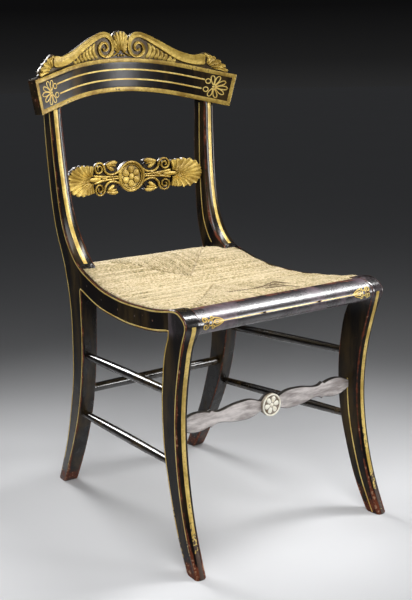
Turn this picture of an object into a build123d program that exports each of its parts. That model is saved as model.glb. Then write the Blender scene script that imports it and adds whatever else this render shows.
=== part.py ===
from build123d import *
import os
from math import cos, radians, sin

# Painted side chair: sawn side frames, curved crest with a carved pediment,
# carved splat, rush seat on a frame of four lists, flat front stretcher.
#
# Frame: +Z up, floor at Z = 0, front towards -Y, +X on the right as seen from
# the front.  The chair is symmetric about X = 0.  Left and right are as seen
# from the front.  Millimetres.
#
# The outlines below use Y measured from a datum inside the seat.  At export
# the whole chair moves along Y so that the origin is the middle of its footprint.

# ---- side frames -------------------------------------------------------------
HALF_WIDTH = 188.0      # outer face of a side frame at Y = 0
SPLAY = 4.8             # degrees; the side frames open towards the front
FACING = 5.0            # thickness of the strip that covers the rush
POST_JOINT = 135.0      # where the side facing meets the rear post
LEG_JOINT = -178.0      # where the side facing meets the front leg
STOCK = (-14.0, 36.0)   # plank that a post or leg is sawn from: its faces, as insets

# Rear post, from the top of the stile to the back of the foot.
POST_BACK = [
    (229, 766), (237, 746), (239.5, 700), (239.3, 640), (235.8, 585), (231.6, 545), (222.5, 498), (217, 480),
    (203, 440), (188, 390), (180.8, 335), (181.5, 290), (185.5, 231), (194.5, 190), (206.8, 148),
    (221.5, 105), (242.5, 57), (272, 0),
]
# Front edge of the stile, from its top down to the seat.
STILE_FRONT = [
    (209, 766), (208.6, 700), (205.8, 640), (201.8, 585), (197, 545), (191.2, 517), (184.8, 498),
    (167, 467), (150.5, 449.5), (135, 438.5),
]
# Front edge of the rear leg, from the seat down to the foot.
REAR_LEG_FRONT = [
    (135, 398), (134.4, 335), (136, 290), (145, 231), (155, 190), (169.3, 148), (188.5, 105), (213.5, 57),
    (247, 0),
]
# Faces of the rear post seen from the front: inset into the chair and height.
# The stile leans outwards above the seat and grows thinner towards its top.
POST_LEAN = [
    (0, 440), (-0.7, 455), (-2.4, 480), (-3.4, 498), (-4.1, 517), (-4.9, 545), (-5.9, 585), (-7.5, 640),
    (-8.8, 690), (-10.5, 766),
]
POST_INNER = [
    (27.5, 0), (28.3, 60), (28.5, 150), (28.4, 231), (28.6, 290), (29.6, 335), (31.2, 372), (32, 415),
    (31.6, 450), (29.4, 480), (27.2, 498), (24.6, 517), (21.9, 545), (19.4, 585), (16.3, 640), (14, 690),
    (11.5, 766),
]
# Inner face of the front leg: it widens towards the rail at the top.
LEG_INNER = [
    (18.5, 0), (19.6, 62), (20.5, 122), (21, 186), (21, 275), (21, 345), (21.8, 371), (24.2, 383),
    (26.2, 394), (26.5, 408), (26.5, 430),
]
# Upper and lower edge of the side facing, from the rear post forwards.
RAIL_TOP = [
    (135, 438.5), (93, 425), (54, 415.5), (16, 411), (-20, 409), (-56, 409.5), (-90, 411.2), (-124, 413.7),
    (-156, 418), (-178, 422),
]
RAIL_BOTTOM = [
    (135, 398), (96, 386), (57, 377.5), (20, 374), (-17, 371.7), (-53, 371.5), (-88, 373.3), (-121, 376.2),
    (-150, 380.5), (-178, 386),
]
# Front edge of the front leg: over the rounded corner and down to the toe.
LEG_FRONT = [
    (-178, 422), (-202, 424.3), (-214.5, 420.8), (-225, 413.8), (-230.5, 405), (-228, 392), (-221.4, 378),
    (-212.6, 352), (-203.7, 318), (-195.8, 275), (-192.5, 230), (-194, 186), (-203.5, 122), (-220, 62),
    (-245.5, 0),
]
# Rear edge of the front leg, from the toe up to the seat.
LEG_BACK = [
    (-216, 0), (-190.5, 50), (-174, 96), (-161.5, 141), (-151.8, 189), (-148.4, 235), (-148.9, 275),
    (-154.2, 318), (-162, 354), (-178, 386),
]

# ---- seat --------------------------------------------------------------------
RUSH_WRAP = 4.0         # rush between a list and the strip nailed over it
LIST_THICK = 12.0       # side lists
LIST_MARGIN = 4.5       # the side lists are this much smaller than the facing
TENON = 10.0            # depth of a mortise
LIST_SHOULDER = (5.0, 3.0)          # the straight lists' tenons are this much smaller in Y and Z
LIST_TOP_ENDS = (441.0, 423.0)      # the side lists' edges run on to these heights at the
LIST_BOTTOM_ENDS = (401.5, 387.5)   # ends of their tenons, in the post and in the leg
FRONT_LIST_Y = (-193.5, -175.5)
FRONT_LIST_Z = (393.0, 416.0)
REAR_LIST_Y = (161.0, 183.0)
REAR_LIST_Z = (408.5, 431.5)
RUSH_Y = (-197.5, 187.5)
RUSH_TOP = [
    (187.5, 436), (150, 438.5), (128, 437), (93, 427), (54, 417.5), (16, 412.5), (-20, 411), (-56, 411.5),
    (-90, 413.5), (-124, 416.5), (-156, 420.5), (-180, 422.5), (-197.5, 420.5),
]
RUSH_BOTTOM = [
    (-197.5, 388), (-156, 382), (-90, 374), (-20, 371.5), (54, 377), (93, 386), (135, 398), (187.5, 404),
]
FRONT_RAIL_BACK = -198.0
FRONT_RAIL_NOSE = [
    (-198, 423.4), (-206.5, 423), (-217, 418.6), (-226.4, 411.2), (-230.6, 403), (-228.2, 394), (-221.5, 387.5),
    (-211, 385.5), (-198, 386),
]
FRONT_RAIL_TENON = ((-216.0, -203.0), (394.0, 414.0))   # its tenons' limits in Y and in Z

# ---- crest -------------------------------------------------------------------
CREST_Y = 250.0         # front of the crest at X = 0
CREST_RADIUS = 345.0    # hollow front of the crest, seen from above
CREST_TURN = 25.8       # degrees of arc each side; the ends run on straight
CREST_STRAIGHT = 105.0  # length of each straight end before it is trimmed
TABLET_THICK = 16.0
TABLET_HEIGHT = 62.0
ARCH_FOOT_Z = 737.5     # lower edge of the tablet at X = 0
ARCH_RADIUS = 536.0     # lower edge of the tablet, seen from the front
ARCH_TURN = 13.5        # degrees of arc each side; the ends run on straight
ARCH_END_X = 205.5      # lower front corner of the tablet
CREST_LOW = 650.0       # heights clear of the crest, below and above
CREST_HIGH = 900.0
CREST_WASTE = 120.0     # waste sawn off beyond an end of the tablet
CREST_AHEAD = 60.0      # depth in front of the crest that the stiles are cut away in
PEDIMENT_INSET = 2.0    # the pediment stands this far behind the tablet's front
PEDIMENT_THICK = 11.0
# Upper outline of the pediment: palmette, scroll, valley and end leaf.
PALMETTE_TOP = [(0, 850), (8, 849), (14, 845), (17.5, 838)]
SCROLL_TOP = [
    (17.5, 838), (25, 844.5), (38, 847), (51, 844.3), (65, 838.6), (81, 830.8), (101, 819.8), (118, 811.5),
    (132, 806.5), (146, 803.5), (157, 804.5),
]
LEAF_TOP = [(157, 804.5), (167, 808.5), (180, 800), (193, 790), (204, 780), (208, 770), (206, 762)]
DOWEL_X = 62.0
DOWEL_RADIUS = 3.0
DOWEL_REACH = 13.0

# ---- splat -------------------------------------------------------------------
SPLAT_Y = 229.0
SPLAT_RADIUS = 480.0
SPLAT_THICK = 15.0
SPLAT_Z = 579.5
MEDALLION_RADIUS = 30.0
SPLAT_BAR = (88.0, 26.5)            # half length and half height between the ornaments
BUD = (44.0, 19.5, 15.0, 12.0)      # centre and half axes of a leaf bud
VOLUTE = (71.0, 19.5, 12.5)         # centre and radius of a scroll
PALMETTE = (117.5, 33.0, 30.0)      # centre and half axes of an end palmette
SPLAT_TENON = (8.0, 30.0)           # thickness and height
SPLAT_END_Y = 214.0                 # depth where the splat's ends meet the stiles

# ---- stretchers --------------------------------------------------------------
ROD_END = 12.5          # diameters of the turned rods
ROD_MIDDLE = 16.0
ROD_TENON = 9.5
ROD_REACH = 8.0         # the side rods' tenons reach this far past the ends given below
ROD_INSET = 10.5        # axis of the side rods inside the side frame's outer face
UPPER_ROD = ((141.0, 275.5), (-152.0, 284.0))
LOWER_ROD = ((163.0, 159.5), (-155.0, 167.0))
REAR_ROD = (166.0, 204.0)
REAR_ROD_DIAMETERS = (16.0, 17.5)
STRETCHER_Y = -174.0    # front of the flat front stretcher
STRETCHER_Z = 228.0
STRETCHER_THICK = 10.0
# Half outline of the front stretcher: length along X and half height.
ARM = [(14, 8), (24, 11.5), (36, 15.5), (58, 16.5), (82, 14), (102, 10.3), (114, 11.5), (120, 15)]
PADDLE = [(125, 12.5), (135, 15.2), (150, 16.5), (166, 14), (178, 9), (186, 6)]
HUB_RADIUS = 18.0
ROUNDEL_RADIUS = 19.5
ROUNDEL_THICK = 7.0
ROUNDEL_RIM = 3.0
ROUNDEL_HOLLOW = 1.5    # depth of the hollow face inside the rim
ROUNDEL_ROUNDING = 0.5
STRETCHER_TENON = (7.0, 10.0)       # thickness and height

# ---- fasteners ---------------------------------------------------------------
BRAD_RADIUS = 0.9
BRAD_LENGTH = 17.0
BRAD_DROP = 19.0        # height of the facing's upper edge over its brads
BRAD_PLACES = (108.0, 52.0, -8.0, -68.0, -128.0)
NAIL_RADIUS = 1.3
NAIL_LENGTH = 46.0
NAIL_PLACES = (-168.0, -58.0, 58.0, 168.0)
NAIL_Z = 404.0
NAIL_SINK = 1.0         # the heads of the nails lie this far below the surface
SCREW_RADIUS = 2.2
SCREW_HEAD = (4.2, 2.4)             # radius and height
SCREW_HEIGHTS = (726.0, 752.0)
SCREW_PLACE = (225.0, 1.5)          # depth along the stile, and inset of its middle at the crest
SCREW_LEAN = 0.3        # the screws lean this share of the way towards square to the crest
SCREW_HOLD = 11.0       # screw left in the tablet
SCREW_SINK = 3.0        # the heads of the screws lie this far below the stile's back
PIN_RADIUS = 2.5
PIN_DEPTH = 4.0         # reach of the roundel's pin into each piece

# Right side frame: X of this plane runs back along the frame, Z points outwards.
_ang = radians(SPLAY)
SIDE = Plane(origin=(HALF_WIDTH, 0, 0), x_dir=(-sin(_ang), cos(_ang), 0), z_dir=(cos(_ang), sin(_ang), 0))
# The same frame seen from the front: X of this plane is the inset into the chair.
INWARDS = Plane(origin=(HALF_WIDTH, 0, 0), x_dir=(-cos(_ang), -sin(_ang), 0), z_dir=(-sin(_ang), cos(_ang), 0))
FRONT_VIEW = Plane(origin=(0, 0, 0), x_dir=(1, 0, 0), z_dir=(0, -1, 0))
SIDE_VIEW = Plane(origin=(0, 0, 0), x_dir=(0, 1, 0), z_dir=(1, 0, 0))
REACH = 300.0           # longer than any half of the chair


def side_point(u, z, inset=0.0):
    """Return the place in the chair of a point on the right side frame."""
    return SIDE.from_local_coords(Vector(u, z, -inset))


def side_board(edges, inset, thick):
    """Saw a board of the right side frame from its outline."""
    return extrude(SIDE.offset(-inset) * make_face(edges), amount=-thick)


def sawn_plank(edges, outer, inner):
    """Saw a plank to its outline from the side, then to its two faces from the front."""
    faces = outer + Line(outer @ 1, inner @ 1) + inner + Line(inner @ 0, outer @ 0)
    front_cut = extrude(INWARDS * make_face(faces), amount=2 * REACH, both=True)
    return side_board(edges, STOCK[0], STOCK[1] - STOCK[0]) & front_cut


def inset_at(face, height):
    """Return the inset of a face of a side frame at a height."""
    for (low, low_z), (high, high_z) in zip(face, face[1:]):
        if low_z <= height <= high_z:
            return low + (high - low) * (height - low_z) / (high_z - low_z)
    return face[-1][0]


def inner_x(y, face, height):
    """Return X of the inner face of the right side frame at a depth and a height."""
    return side_point(y, height, inset_at(face, height)).X


def shifted(points, rise):
    """Move a list of outline points up or down."""
    return [(u, z + rise) for u, z in points]


def mirrored(shape):
    """Return the left twin of a right-hand piece."""
    return mirror(shape, about=Plane.YZ)


def both(shape):
    """Return a piece together with its left twin."""
    return Compound([*shape.solids(), *mirrored(shape).solids()])


def block(xs, ys, zs):
    """Return a box between pairs of coordinates."""
    size = (xs[1] - xs[0], ys[1] - ys[0], zs[1] - zs[0])
    middle = Pos((xs[0] + xs[1]) / 2, (ys[0] + ys[1]) / 2, (zs[0] + zs[1]) / 2)
    return middle * Box(*size)


# ---- side frame pieces -------------------------------------------------------
def post_blank():
    """Stile and rear leg, sawn in one piece."""
    edges = Spline(*POST_BACK) + Line(POST_BACK[-1], REAR_LEG_FRONT[-1])
    edges += Spline(*REAR_LEG_FRONT) + Line(REAR_LEG_FRONT[0], STILE_FRONT[-1])
    edges += Spline(*STILE_FRONT) + Line(STILE_FRONT[0], POST_BACK[0])
    slope = (POST_LEAN[-1][0] - POST_LEAN[-2][0], POST_LEAN[-1][1] - POST_LEAN[-2][1])
    outer = Line((0, 0), POST_LEAN[0]) + Spline(*POST_LEAN, tangents=((0, 1), slope))
    return sawn_plank(edges, outer, Spline(*POST_INNER))


def leg_blank():
    """Sabre-shaped front leg with its corner block."""
    edges = Spline(*LEG_FRONT) + Line(LEG_FRONT[-1], LEG_BACK[0])
    edges += Spline(*LEG_BACK) + Line(LEG_BACK[-1], LEG_FRONT[0])
    outer = Line((0, LEG_INNER[0][1]), (0, LEG_INNER[-1][1]))
    return sawn_plank(edges, outer, Spline(*LEG_INNER))


def side_facing():
    """Thin curved strip that is nailed over the side of the rush."""
    edges = Spline(*RAIL_TOP) + Line(RAIL_TOP[-1], RAIL_BOTTOM[-1])
    edges += Spline(*RAIL_BOTTOM) + Line(RAIL_BOTTOM[0], RAIL_TOP[0])
    return side_board(edges, 0, FACING)


def side_list():
    """Curved seat list inside the rush, with a tenon at each end."""
    ends = (POST_JOINT + TENON, LEG_JOINT - TENON)
    top = [(ends[0], LIST_TOP_ENDS[0]), *RAIL_TOP, (ends[1], LIST_TOP_ENDS[1])]
    bottom = [(ends[0], LIST_BOTTOM_ENDS[0]), *RAIL_BOTTOM, (ends[1], LIST_BOTTOM_ENDS[1])]
    top = shifted(top, -LIST_MARGIN)
    bottom = shifted(bottom, LIST_MARGIN)
    edges = Spline(*top) + Line(top[-1], bottom[-1])
    edges += Spline(*bottom) + Line(bottom[0], top[0])
    return side_board(edges, FACING + RUSH_WRAP, LIST_THICK)


# ---- pieces between the side frames ------------------------------------------
def seat_list(ys, zs, boards, half_length):
    """Straight seat list cut to the side frames, with a smaller tenon at each end."""
    body = block((-half_length, half_length), ys, zs) - boards
    tenon_ys = (ys[0] + LIST_SHOULDER[0], ys[1] - LIST_SHOULDER[0])
    tenon_zs = (zs[0] + LIST_SHOULDER[1], zs[1] - LIST_SHOULDER[1])
    return body + block((-half_length, half_length), tenon_ys, tenon_zs)


def front_rail_body(legs, half_length):
    """Rounded front rail that covers the front of the rush."""
    edges = Spline(*FRONT_RAIL_NOSE) + Line(FRONT_RAIL_NOSE[-1], FRONT_RAIL_NOSE[0])
    roll = extrude(SIDE_VIEW * make_face(edges), amount=half_length, both=True)
    return roll - legs + block((-half_length, half_length), *FRONT_RAIL_TENON)


def rush_body():
    """Woven seat as one closed pad, before the frame is cut out of it."""
    edges = Spline(*RUSH_TOP) + Line(RUSH_TOP[-1], RUSH_BOTTOM[0])
    edges += Spline(*RUSH_BOTTOM) + Line(RUSH_BOTTOM[-1], RUSH_TOP[0])
    pad = extrude(SIDE_VIEW * make_face(edges), amount=REACH, both=True)
    inner = [side_point(RUSH_Y[1] + 5, 0, FACING), side_point(RUSH_Y[0] - 5, 0, FACING)]
    right = [(p.X, p.Y) for p in inner]
    left = [(-p.X, p.Y) for p in reversed(inner)]
    plan = make_face(Polyline(*right, *left, right[0]))
    return pad & extrude(plan, amount=2 * REACH)


# ---- crest -------------------------------------------------------------------
def crest_edge(depth):
    """Return the points of the crest curve at a depth behind its front face."""
    turn = radians(CREST_TURN)
    radius = CREST_RADIUS + depth
    middle_y = CREST_Y - CREST_RADIUS
    knee = (radius * sin(turn), middle_y + radius * cos(turn))
    end = (knee[0] + CREST_STRAIGHT * cos(turn), knee[1] - CREST_STRAIGHT * sin(turn))
    return (0, middle_y + radius), knee, end


def crest_band(near, far):
    """Plan of the crest between two depths behind its front face."""
    faces = [crest_edge(near), crest_edge(far)]
    edges = Curve()
    for top, knee, end in faces:
        edges += ThreePointArc((-knee[0], knee[1]), top, knee)
        edges += Line(knee, end)
        edges += Line((-knee[0], knee[1]), (-end[0], end[1]))
    for side in (1, -1):
        edges += Line((side * faces[0][2][0], faces[0][2][1]), (side * faces[1][2][0], faces[1][2][1]))
    return extrude(make_face(edges), amount=3 * REACH)


def arch(rise, overrun=0.0):
    """Return the middle, knee and end of the tablet's arch at a height above its foot."""
    turn = radians(ARCH_TURN)
    radius = ARCH_RADIUS + rise
    middle_z = ARCH_FOOT_Z - ARCH_RADIUS
    knee = (radius * sin(turn), middle_z + radius * cos(turn))
    run = (ARCH_END_X - ARCH_RADIUS * sin(turn)) / cos(turn) + overrun
    end = (knee[0] + run * cos(turn), knee[1] - run * sin(turn))
    return (0, middle_z + radius), knee, end


def arch_edge(rise, overrun):
    """Arch curve from the left end to the right end."""
    top, knee, end = arch(rise, overrun)
    edges = Line((-end[0], end[1]), (-knee[0], knee[1]))
    edges += ThreePointArc((-knee[0], knee[1]), top, knee)
    return edges + Line(knee, end)


def front_board(edges, band):
    """Saw a board seen from the front to a plan shape."""
    return extrude(FRONT_VIEW * make_face(edges), amount=REACH, both=True) & band


def end_cutter():
    """Waste beyond the right end of the tablet, square to its face."""
    turn = radians(CREST_TURN)
    low = arch(0)[2]
    high = arch(TABLET_HEIGHT)[2]
    knee = crest_edge(0)[1]
    across = Vector(sin(turn), cos(turn), 0)
    fall = (high[0] - low[0]) * sin(turn) / cos(turn)
    along = Vector(high[0] - low[0], -fall, high[1] - low[1])
    corner = (low[0], knee[1] - (low[0] - knee[0]) * sin(turn) / cos(turn), low[1])
    cut = Plane(origin=corner, x_dir=across, z_dir=along.cross(across) * -1)
    return cut * Pos(0, 0, CREST_WASTE / 2) * Box(2 * CREST_WASTE, 2 * CREST_WASTE, CREST_WASTE)


def crest_tablet():
    """Arched and hollowed crest board."""
    overrun = 20.0
    lower = arch(0, overrun)[2]
    upper = arch(TABLET_HEIGHT, overrun)[2]
    edges = arch_edge(0, overrun) + arch_edge(TABLET_HEIGHT, overrun)
    edges += Line(lower, upper) + Line((-lower[0], lower[1]), (-upper[0], upper[1]))
    tablet = front_board(edges, crest_band(0, TABLET_THICK))
    cutter = end_cutter()
    return tablet - cutter - mirrored(cutter)


def crest_clearance():
    """Space in front of the tablet's back, which the stiles are cut away for."""
    overrun = 90.0
    end = arch(0, overrun)[2]
    above = Polyline(end, (REACH, CREST_HIGH), (-REACH, CREST_HIGH), (-end[0], end[1]))
    return front_board(arch_edge(0, overrun) + above, crest_band(-CREST_AHEAD, TABLET_THICK))


def crest_pediment():
    """Carved cresting that stands on the tablet."""
    right = Spline(*PALMETTE_TOP) + Spline(*SCROLL_TOP) + Spline(*LEAF_TOP)
    foot = LEAF_TOP[-1]
    base = Polyline(foot, (foot[0], CREST_LOW), (-foot[0], CREST_LOW), (-foot[0], foot[1]))
    edges = right + mirror(right, about=Plane.YZ) + base
    board = front_board(edges, crest_band(PEDIMENT_INSET, PEDIMENT_INSET + PEDIMENT_THICK))
    overrun = 60.0
    end = arch(TABLET_HEIGHT, overrun)[2]
    below = Polyline(end, (REACH, CREST_LOW), (-REACH, CREST_LOW), (-end[0], end[1]))
    return board - front_board(arch_edge(TABLET_HEIGHT, overrun) + below, crest_band(0, TABLET_THICK))


def crest_place(x, depth):
    """Return Y of the crest's arc at X and a depth behind its front face."""
    radius = CREST_RADIUS + depth
    return CREST_Y - CREST_RADIUS + (radius ** 2 - x ** 2) ** 0.5


def pediment_dowel():
    """Dowel between the tablet and the pediment."""
    seam_z = ARCH_FOOT_Z - ARCH_RADIUS + ((ARCH_RADIUS + TABLET_HEIGHT) ** 2 - DOWEL_X ** 2) ** 0.5
    middle_y = crest_place(DOWEL_X, PEDIMENT_INSET + PEDIMENT_THICK / 2)
    return Pos(DOWEL_X, middle_y, seam_z) * Cylinder(DOWEL_RADIUS, 2 * DOWEL_REACH)


def crest_screw(height, post):
    """Countersunk screw through a stile into the back of the tablet."""
    turn = radians(CREST_TURN)
    knee = crest_edge(TABLET_THICK)[1]
    x = side_point(SCREW_PLACE[0], height, SCREW_PLACE[1]).X
    back_y = knee[1] - (x - knee[0]) * sin(turn) / cos(turn)
    inwards = Vector(-sin(turn) * SCREW_LEAN, -1, 0).normalized()
    tip = Vector(x, back_y, height) + inwards * SCREW_HOLD
    path = Plane(origin=tip, z_dir=inwards * -1)
    probe = path * Pos(0, 0, REACH / 2) * Cylinder(0.2, REACH)
    back_of_post = max(vertex.Y for vertex in (probe & post).vertices())
    length = (back_of_post - tip.Y) / abs(inwards.Y) - SCREW_SINK
    shank = Pos(0, 0, length / 2) * Cylinder(SCREW_RADIUS, length)
    head = Pos(0, 0, length - SCREW_HEAD[1] / 2) * Cylinder(SCREW_HEAD[0], SCREW_HEAD[1])
    return path * (shank + head)


# ---- splat -------------------------------------------------------------------
def splat_body(posts):
    """Carved cross slat: medallion, scrolls and two palmettes."""
    outline = Circle(MEDALLION_RADIUS) + Rectangle(2 * SPLAT_BAR[0], 2 * SPLAT_BAR[1])
    for side_x in (1, -1):
        outline += Pos(side_x * PALMETTE[0], 0) * Ellipse(PALMETTE[1], PALMETTE[2])
        for side_z in (1, -1):
            outline += Pos(side_x * BUD[0], side_z * BUD[1]) * Ellipse(BUD[2], BUD[3])
            outline += Pos(side_x * VOLUTE[0], side_z * VOLUTE[1]) * Circle(VOLUTE[2])
    middle = Pos(0, SPLAT_Y - SPLAT_RADIUS, SPLAT_Z)
    ring = middle * (Cylinder(SPLAT_RADIUS + SPLAT_THICK, 100) - Cylinder(SPLAT_RADIUS, 100))
    slat = (FRONT_VIEW * Pos(0, SPLAT_Z)) * extrude(outline, amount=-REACH) & ring
    inset = (SPLAT_THICK - SPLAT_TENON[0]) / 2
    core = middle * (
        Cylinder(SPLAT_RADIUS + SPLAT_THICK - inset, SPLAT_TENON[1])
        - Cylinder(SPLAT_RADIUS + inset, SPLAT_TENON[1])
    )
    end_x = inner_x(SPLAT_END_Y, POST_INNER, SPLAT_Z) + TENON
    tenon = core & block((PALMETTE[0], end_x), (0, REACH), (0, 3 * REACH))
    return slat - posts + tenon + mirrored(tenon)


# ---- stretchers --------------------------------------------------------------
def turned_rod(start, finish, end_diameter, middle_diameter, boards):
    """Turned rod between two points in the side frames, cut to them, with tenons."""
    axis = finish - start
    length = axis.length
    swell = Spline((0, end_diameter / 2), (length / 2, middle_diameter / 2), (length, end_diameter / 2))
    profile = swell + Polyline((length, end_diameter / 2), (length, 0), (0, 0), (0, end_diameter / 2))
    place = Plane(origin=start, z_dir=axis)
    lathe = Plane(origin=(0, 0, 0), x_dir=(0, 0, 1), z_dir=(0, -1, 0))
    body = place * revolve(lathe * make_face(profile), Axis.Z)
    tenon = place * Pos(0, 0, length / 2) * Cylinder(ROD_TENON / 2, length)
    return (body - boards) + tenon


def side_rod(ends, boards):
    """Side stretcher in the middle of the right side frame."""
    start = side_point(*ends[0], ROD_INSET)
    finish = side_point(*ends[1], ROD_INSET)
    reach = (finish - start).normalized() * ROD_REACH
    return turned_rod(start - reach, finish + reach, ROD_END, ROD_MIDDLE, boards)


def rear_rod(posts):
    """Straight stretcher between the rear legs."""
    half = inner_x(REAR_ROD[0], POST_INNER, REAR_ROD[1]) + TENON
    start = Vector(-half, *REAR_ROD)
    return turned_rod(start, Vector(half, *REAR_ROD), *REAR_ROD_DIAMETERS, posts)


def stretcher_arm():
    """Right half of the front stretcher's outline, from the hub to the leg."""
    edges = Curve()
    for up in (1, -1):
        edges += Spline(*[(x, up * h) for x, h in ARM])
        edges += Line((ARM[-1][0], up * ARM[-1][1]), (PADDLE[0][0], up * PADDLE[0][1]))
        edges += Spline(*[(x, up * h) for x, h in PADDLE])
    edges += Line((PADDLE[-1][0], PADDLE[-1][1]), (PADDLE[-1][0], -PADDLE[-1][1]))
    edges += Line((ARM[0][0], ARM[0][1]), (ARM[0][0], -ARM[0][1]))
    return make_face(edges)


def front_stretcher_body(legs):
    """Flat front stretcher with leaf-shaped arms and a round hub."""
    arm = stretcher_arm()
    outline = arm + Circle(HUB_RADIUS) + mirrored(arm)
    front = Plane(origin=(0, STRETCHER_Y, STRETCHER_Z), x_dir=(1, 0, 0), z_dir=(0, -1, 0))
    slat = extrude(front * outline, amount=-STRETCHER_THICK)
    middle_y = STRETCHER_Y + STRETCHER_THICK / 2
    half = inner_x(STRETCHER_Y, LEG_INNER, STRETCHER_Z) + TENON
    depth = (middle_y - STRETCHER_TENON[0] / 2, middle_y + STRETCHER_TENON[0] / 2)
    height = (STRETCHER_Z - STRETCHER_TENON[1] / 2, STRETCHER_Z + STRETCHER_TENON[1] / 2)
    tenon = block((PADDLE[-1][0] - TENON, half), depth, height)
    return slat - legs + tenon + mirrored(tenon)


def stretcher_roundel():
    """Round boss on the front stretcher, with a raised rim."""
    front = Plane(origin=(0, STRETCHER_Y, STRETCHER_Z), x_dir=(1, 0, 0), z_dir=(0, -1, 0))
    disc = Pos(0, 0, ROUNDEL_THICK / 2) * Cylinder(ROUNDEL_RADIUS, ROUNDEL_THICK)
    floor_z = ROUNDEL_THICK - ROUNDEL_HOLLOW / 2
    hollow = Pos(0, 0, floor_z) * Cylinder(ROUNDEL_RADIUS - ROUNDEL_RIM, ROUNDEL_HOLLOW)
    rim = (disc - hollow).edges().filter_by(GeomType.CIRCLE).group_by(Axis.Z)[-1]
    return front * fillet(rim, ROUNDEL_ROUNDING)


def roundel_pin():
    """Blind pin that holds the roundel."""
    axis = Plane(origin=(0, STRETCHER_Y, STRETCHER_Z), x_dir=(1, 0, 0), z_dir=(0, -1, 0))
    return axis * Cylinder(PIN_RADIUS, 2 * PIN_DEPTH)


# ---- fasteners ---------------------------------------------------------------
def facing_brads():
    """Brads through the right side facing and the rush into the side list."""
    brads = []
    for u in BRAD_PLACES:
        top = Spline(*RAIL_TOP) @ ((POST_JOINT - u) / (POST_JOINT - LEG_JOINT))
        place = Pos(u, top.Y - BRAD_DROP, -BRAD_LENGTH / 2)
        brads.append(SIDE * place * Cylinder(BRAD_RADIUS, BRAD_LENGTH))
    return Compound(brads)


def rail_nails(rail):
    """Nails through the front rail and the rush into the front list."""
    nails = []
    for x in NAIL_PLACES:
        probe = Pos(x, 0, NAIL_Z) * Box(2 * NAIL_RADIUS, 2 * REACH, 2 * NAIL_RADIUS)
        head_y = min(vertex.Y for vertex in (rail & probe).vertices()) + NAIL_SINK
        place = Pos(x, head_y + NAIL_LENGTH / 2, NAIL_Z) * Rot(90, 0, 0)
        nails.append(place * Cylinder(NAIL_RADIUS, NAIL_LENGTH))
    return Compound(nails)


def build():
    """Build every piece and cut the joints."""
    post = post_blank()
    leg = leg_blank()
    posts = both(post)
    legs = both(leg)
    boards = Compound([*posts.solids(), *legs.solids()])
    facing = side_facing()
    list_side = side_list()
    upper = side_rod(UPPER_ROD, Compound([post, leg]))
    lower = side_rod(LOWER_ROD, Compound([post, leg]))

    front_half = inner_x(FRONT_LIST_Y[1], LEG_INNER, FRONT_LIST_Z[1]) + TENON
    rear_half = inner_x(REAR_LIST_Y[1], POST_INNER, REAR_LIST_Z[0]) + TENON
    front_list = seat_list(FRONT_LIST_Y, FRONT_LIST_Z, legs, front_half)
    list_side = list_side - front_list
    rear_list = seat_list(REAR_LIST_Y, REAR_LIST_Z, posts, rear_half)
    rail = front_rail_body(legs, inner_x(FRONT_RAIL_BACK, LEG_INNER, NAIL_Z) + TENON)
    splat = splat_body(posts)
    rear_stretcher = rear_rod(posts)
    front_stretcher = front_stretcher_body(legs)

    tablet = crest_tablet()
    pediment = crest_pediment()
    post = post - crest_clearance()
    screws = Compound([crest_screw(height, post) for height in SCREW_HEIGHTS])
    dowel = pediment_dowel()
    brads = facing_brads()
    nails = rail_nails(rail)
    pin = roundel_pin()

    side_cuts = [list_side, upper, lower]
    post = post - [*side_cuts, rear_list, splat, rear_stretcher, *screws.solids()]
    leg = leg - [*side_cuts, front_list, rail, front_stretcher]
    lists = [*both(list_side).solids(), front_list, rear_list]
    fasteners = [*both(brads).solids(), *nails.solids()]
    rush = rush_body() - [boards, *lists, *fasteners]

    right = {
        "rear_post": post,
        "front_leg": leg,
        "side_facing": facing - brads.solids(),
        "side_list": list_side - brads.solids(),
        "upper_side_stretcher": upper,
        "lower_side_stretcher": lower,
        "facing_brads": brads,
    }
    parts = {f"{name}_right": shape for name, shape in right.items()}
    parts.update({f"{name}_left": mirrored(shape) for name, shape in right.items()})
    parts["front_list"] = front_list - nails.solids()
    parts["rear_list"] = rear_list
    parts["front_rail"] = rail - nails.solids()
    parts["front_rail_nails"] = nails
    parts["rush_seat"] = rush
    parts["crest_tablet"] = tablet - [*both(dowel).solids(), *both(screws).solids()]
    parts["crest_pediment"] = pediment - both(dowel).solids()
    parts["pediment_dowels"] = both(dowel)
    parts["crest_screws"] = both(screws)
    parts["splat"] = splat
    parts["rear_stretcher"] = rear_stretcher
    parts["front_stretcher"] = front_stretcher - pin
    parts["stretcher_roundel"] = stretcher_roundel() - pin
    parts["roundel_pin"] = pin
    return parts


def main():
    """Centre the chair over its footprint and write one STEP file per piece."""
    parts = build()
    solids = [solid for shape in parts.values() for solid in shape.solids()]
    middle = Compound(solids).bounding_box().center().Y
    os.makedirs("parts", exist_ok=True)
    for name, shape in parts.items():
        placed = [Pos(0, -middle, 0) * solid for solid in shape.solids()]
        export_step(placed[0] if len(placed) == 1 else Compound(placed), f"parts/{name}.step")
    print("moved along Y by", round(-middle, 3))


main()
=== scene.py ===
"""Visual model of a painted side chair: its pieces, finishes, floor, light and camera."""
import logging
import math
import random
from dataclasses import dataclass
from enum import Enum
from typing import Callable, ClassVar, Dict, List, Optional, Sequence, Tuple, Union

import bpy
import numpy as np
from mathutils import Matrix, Vector


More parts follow.
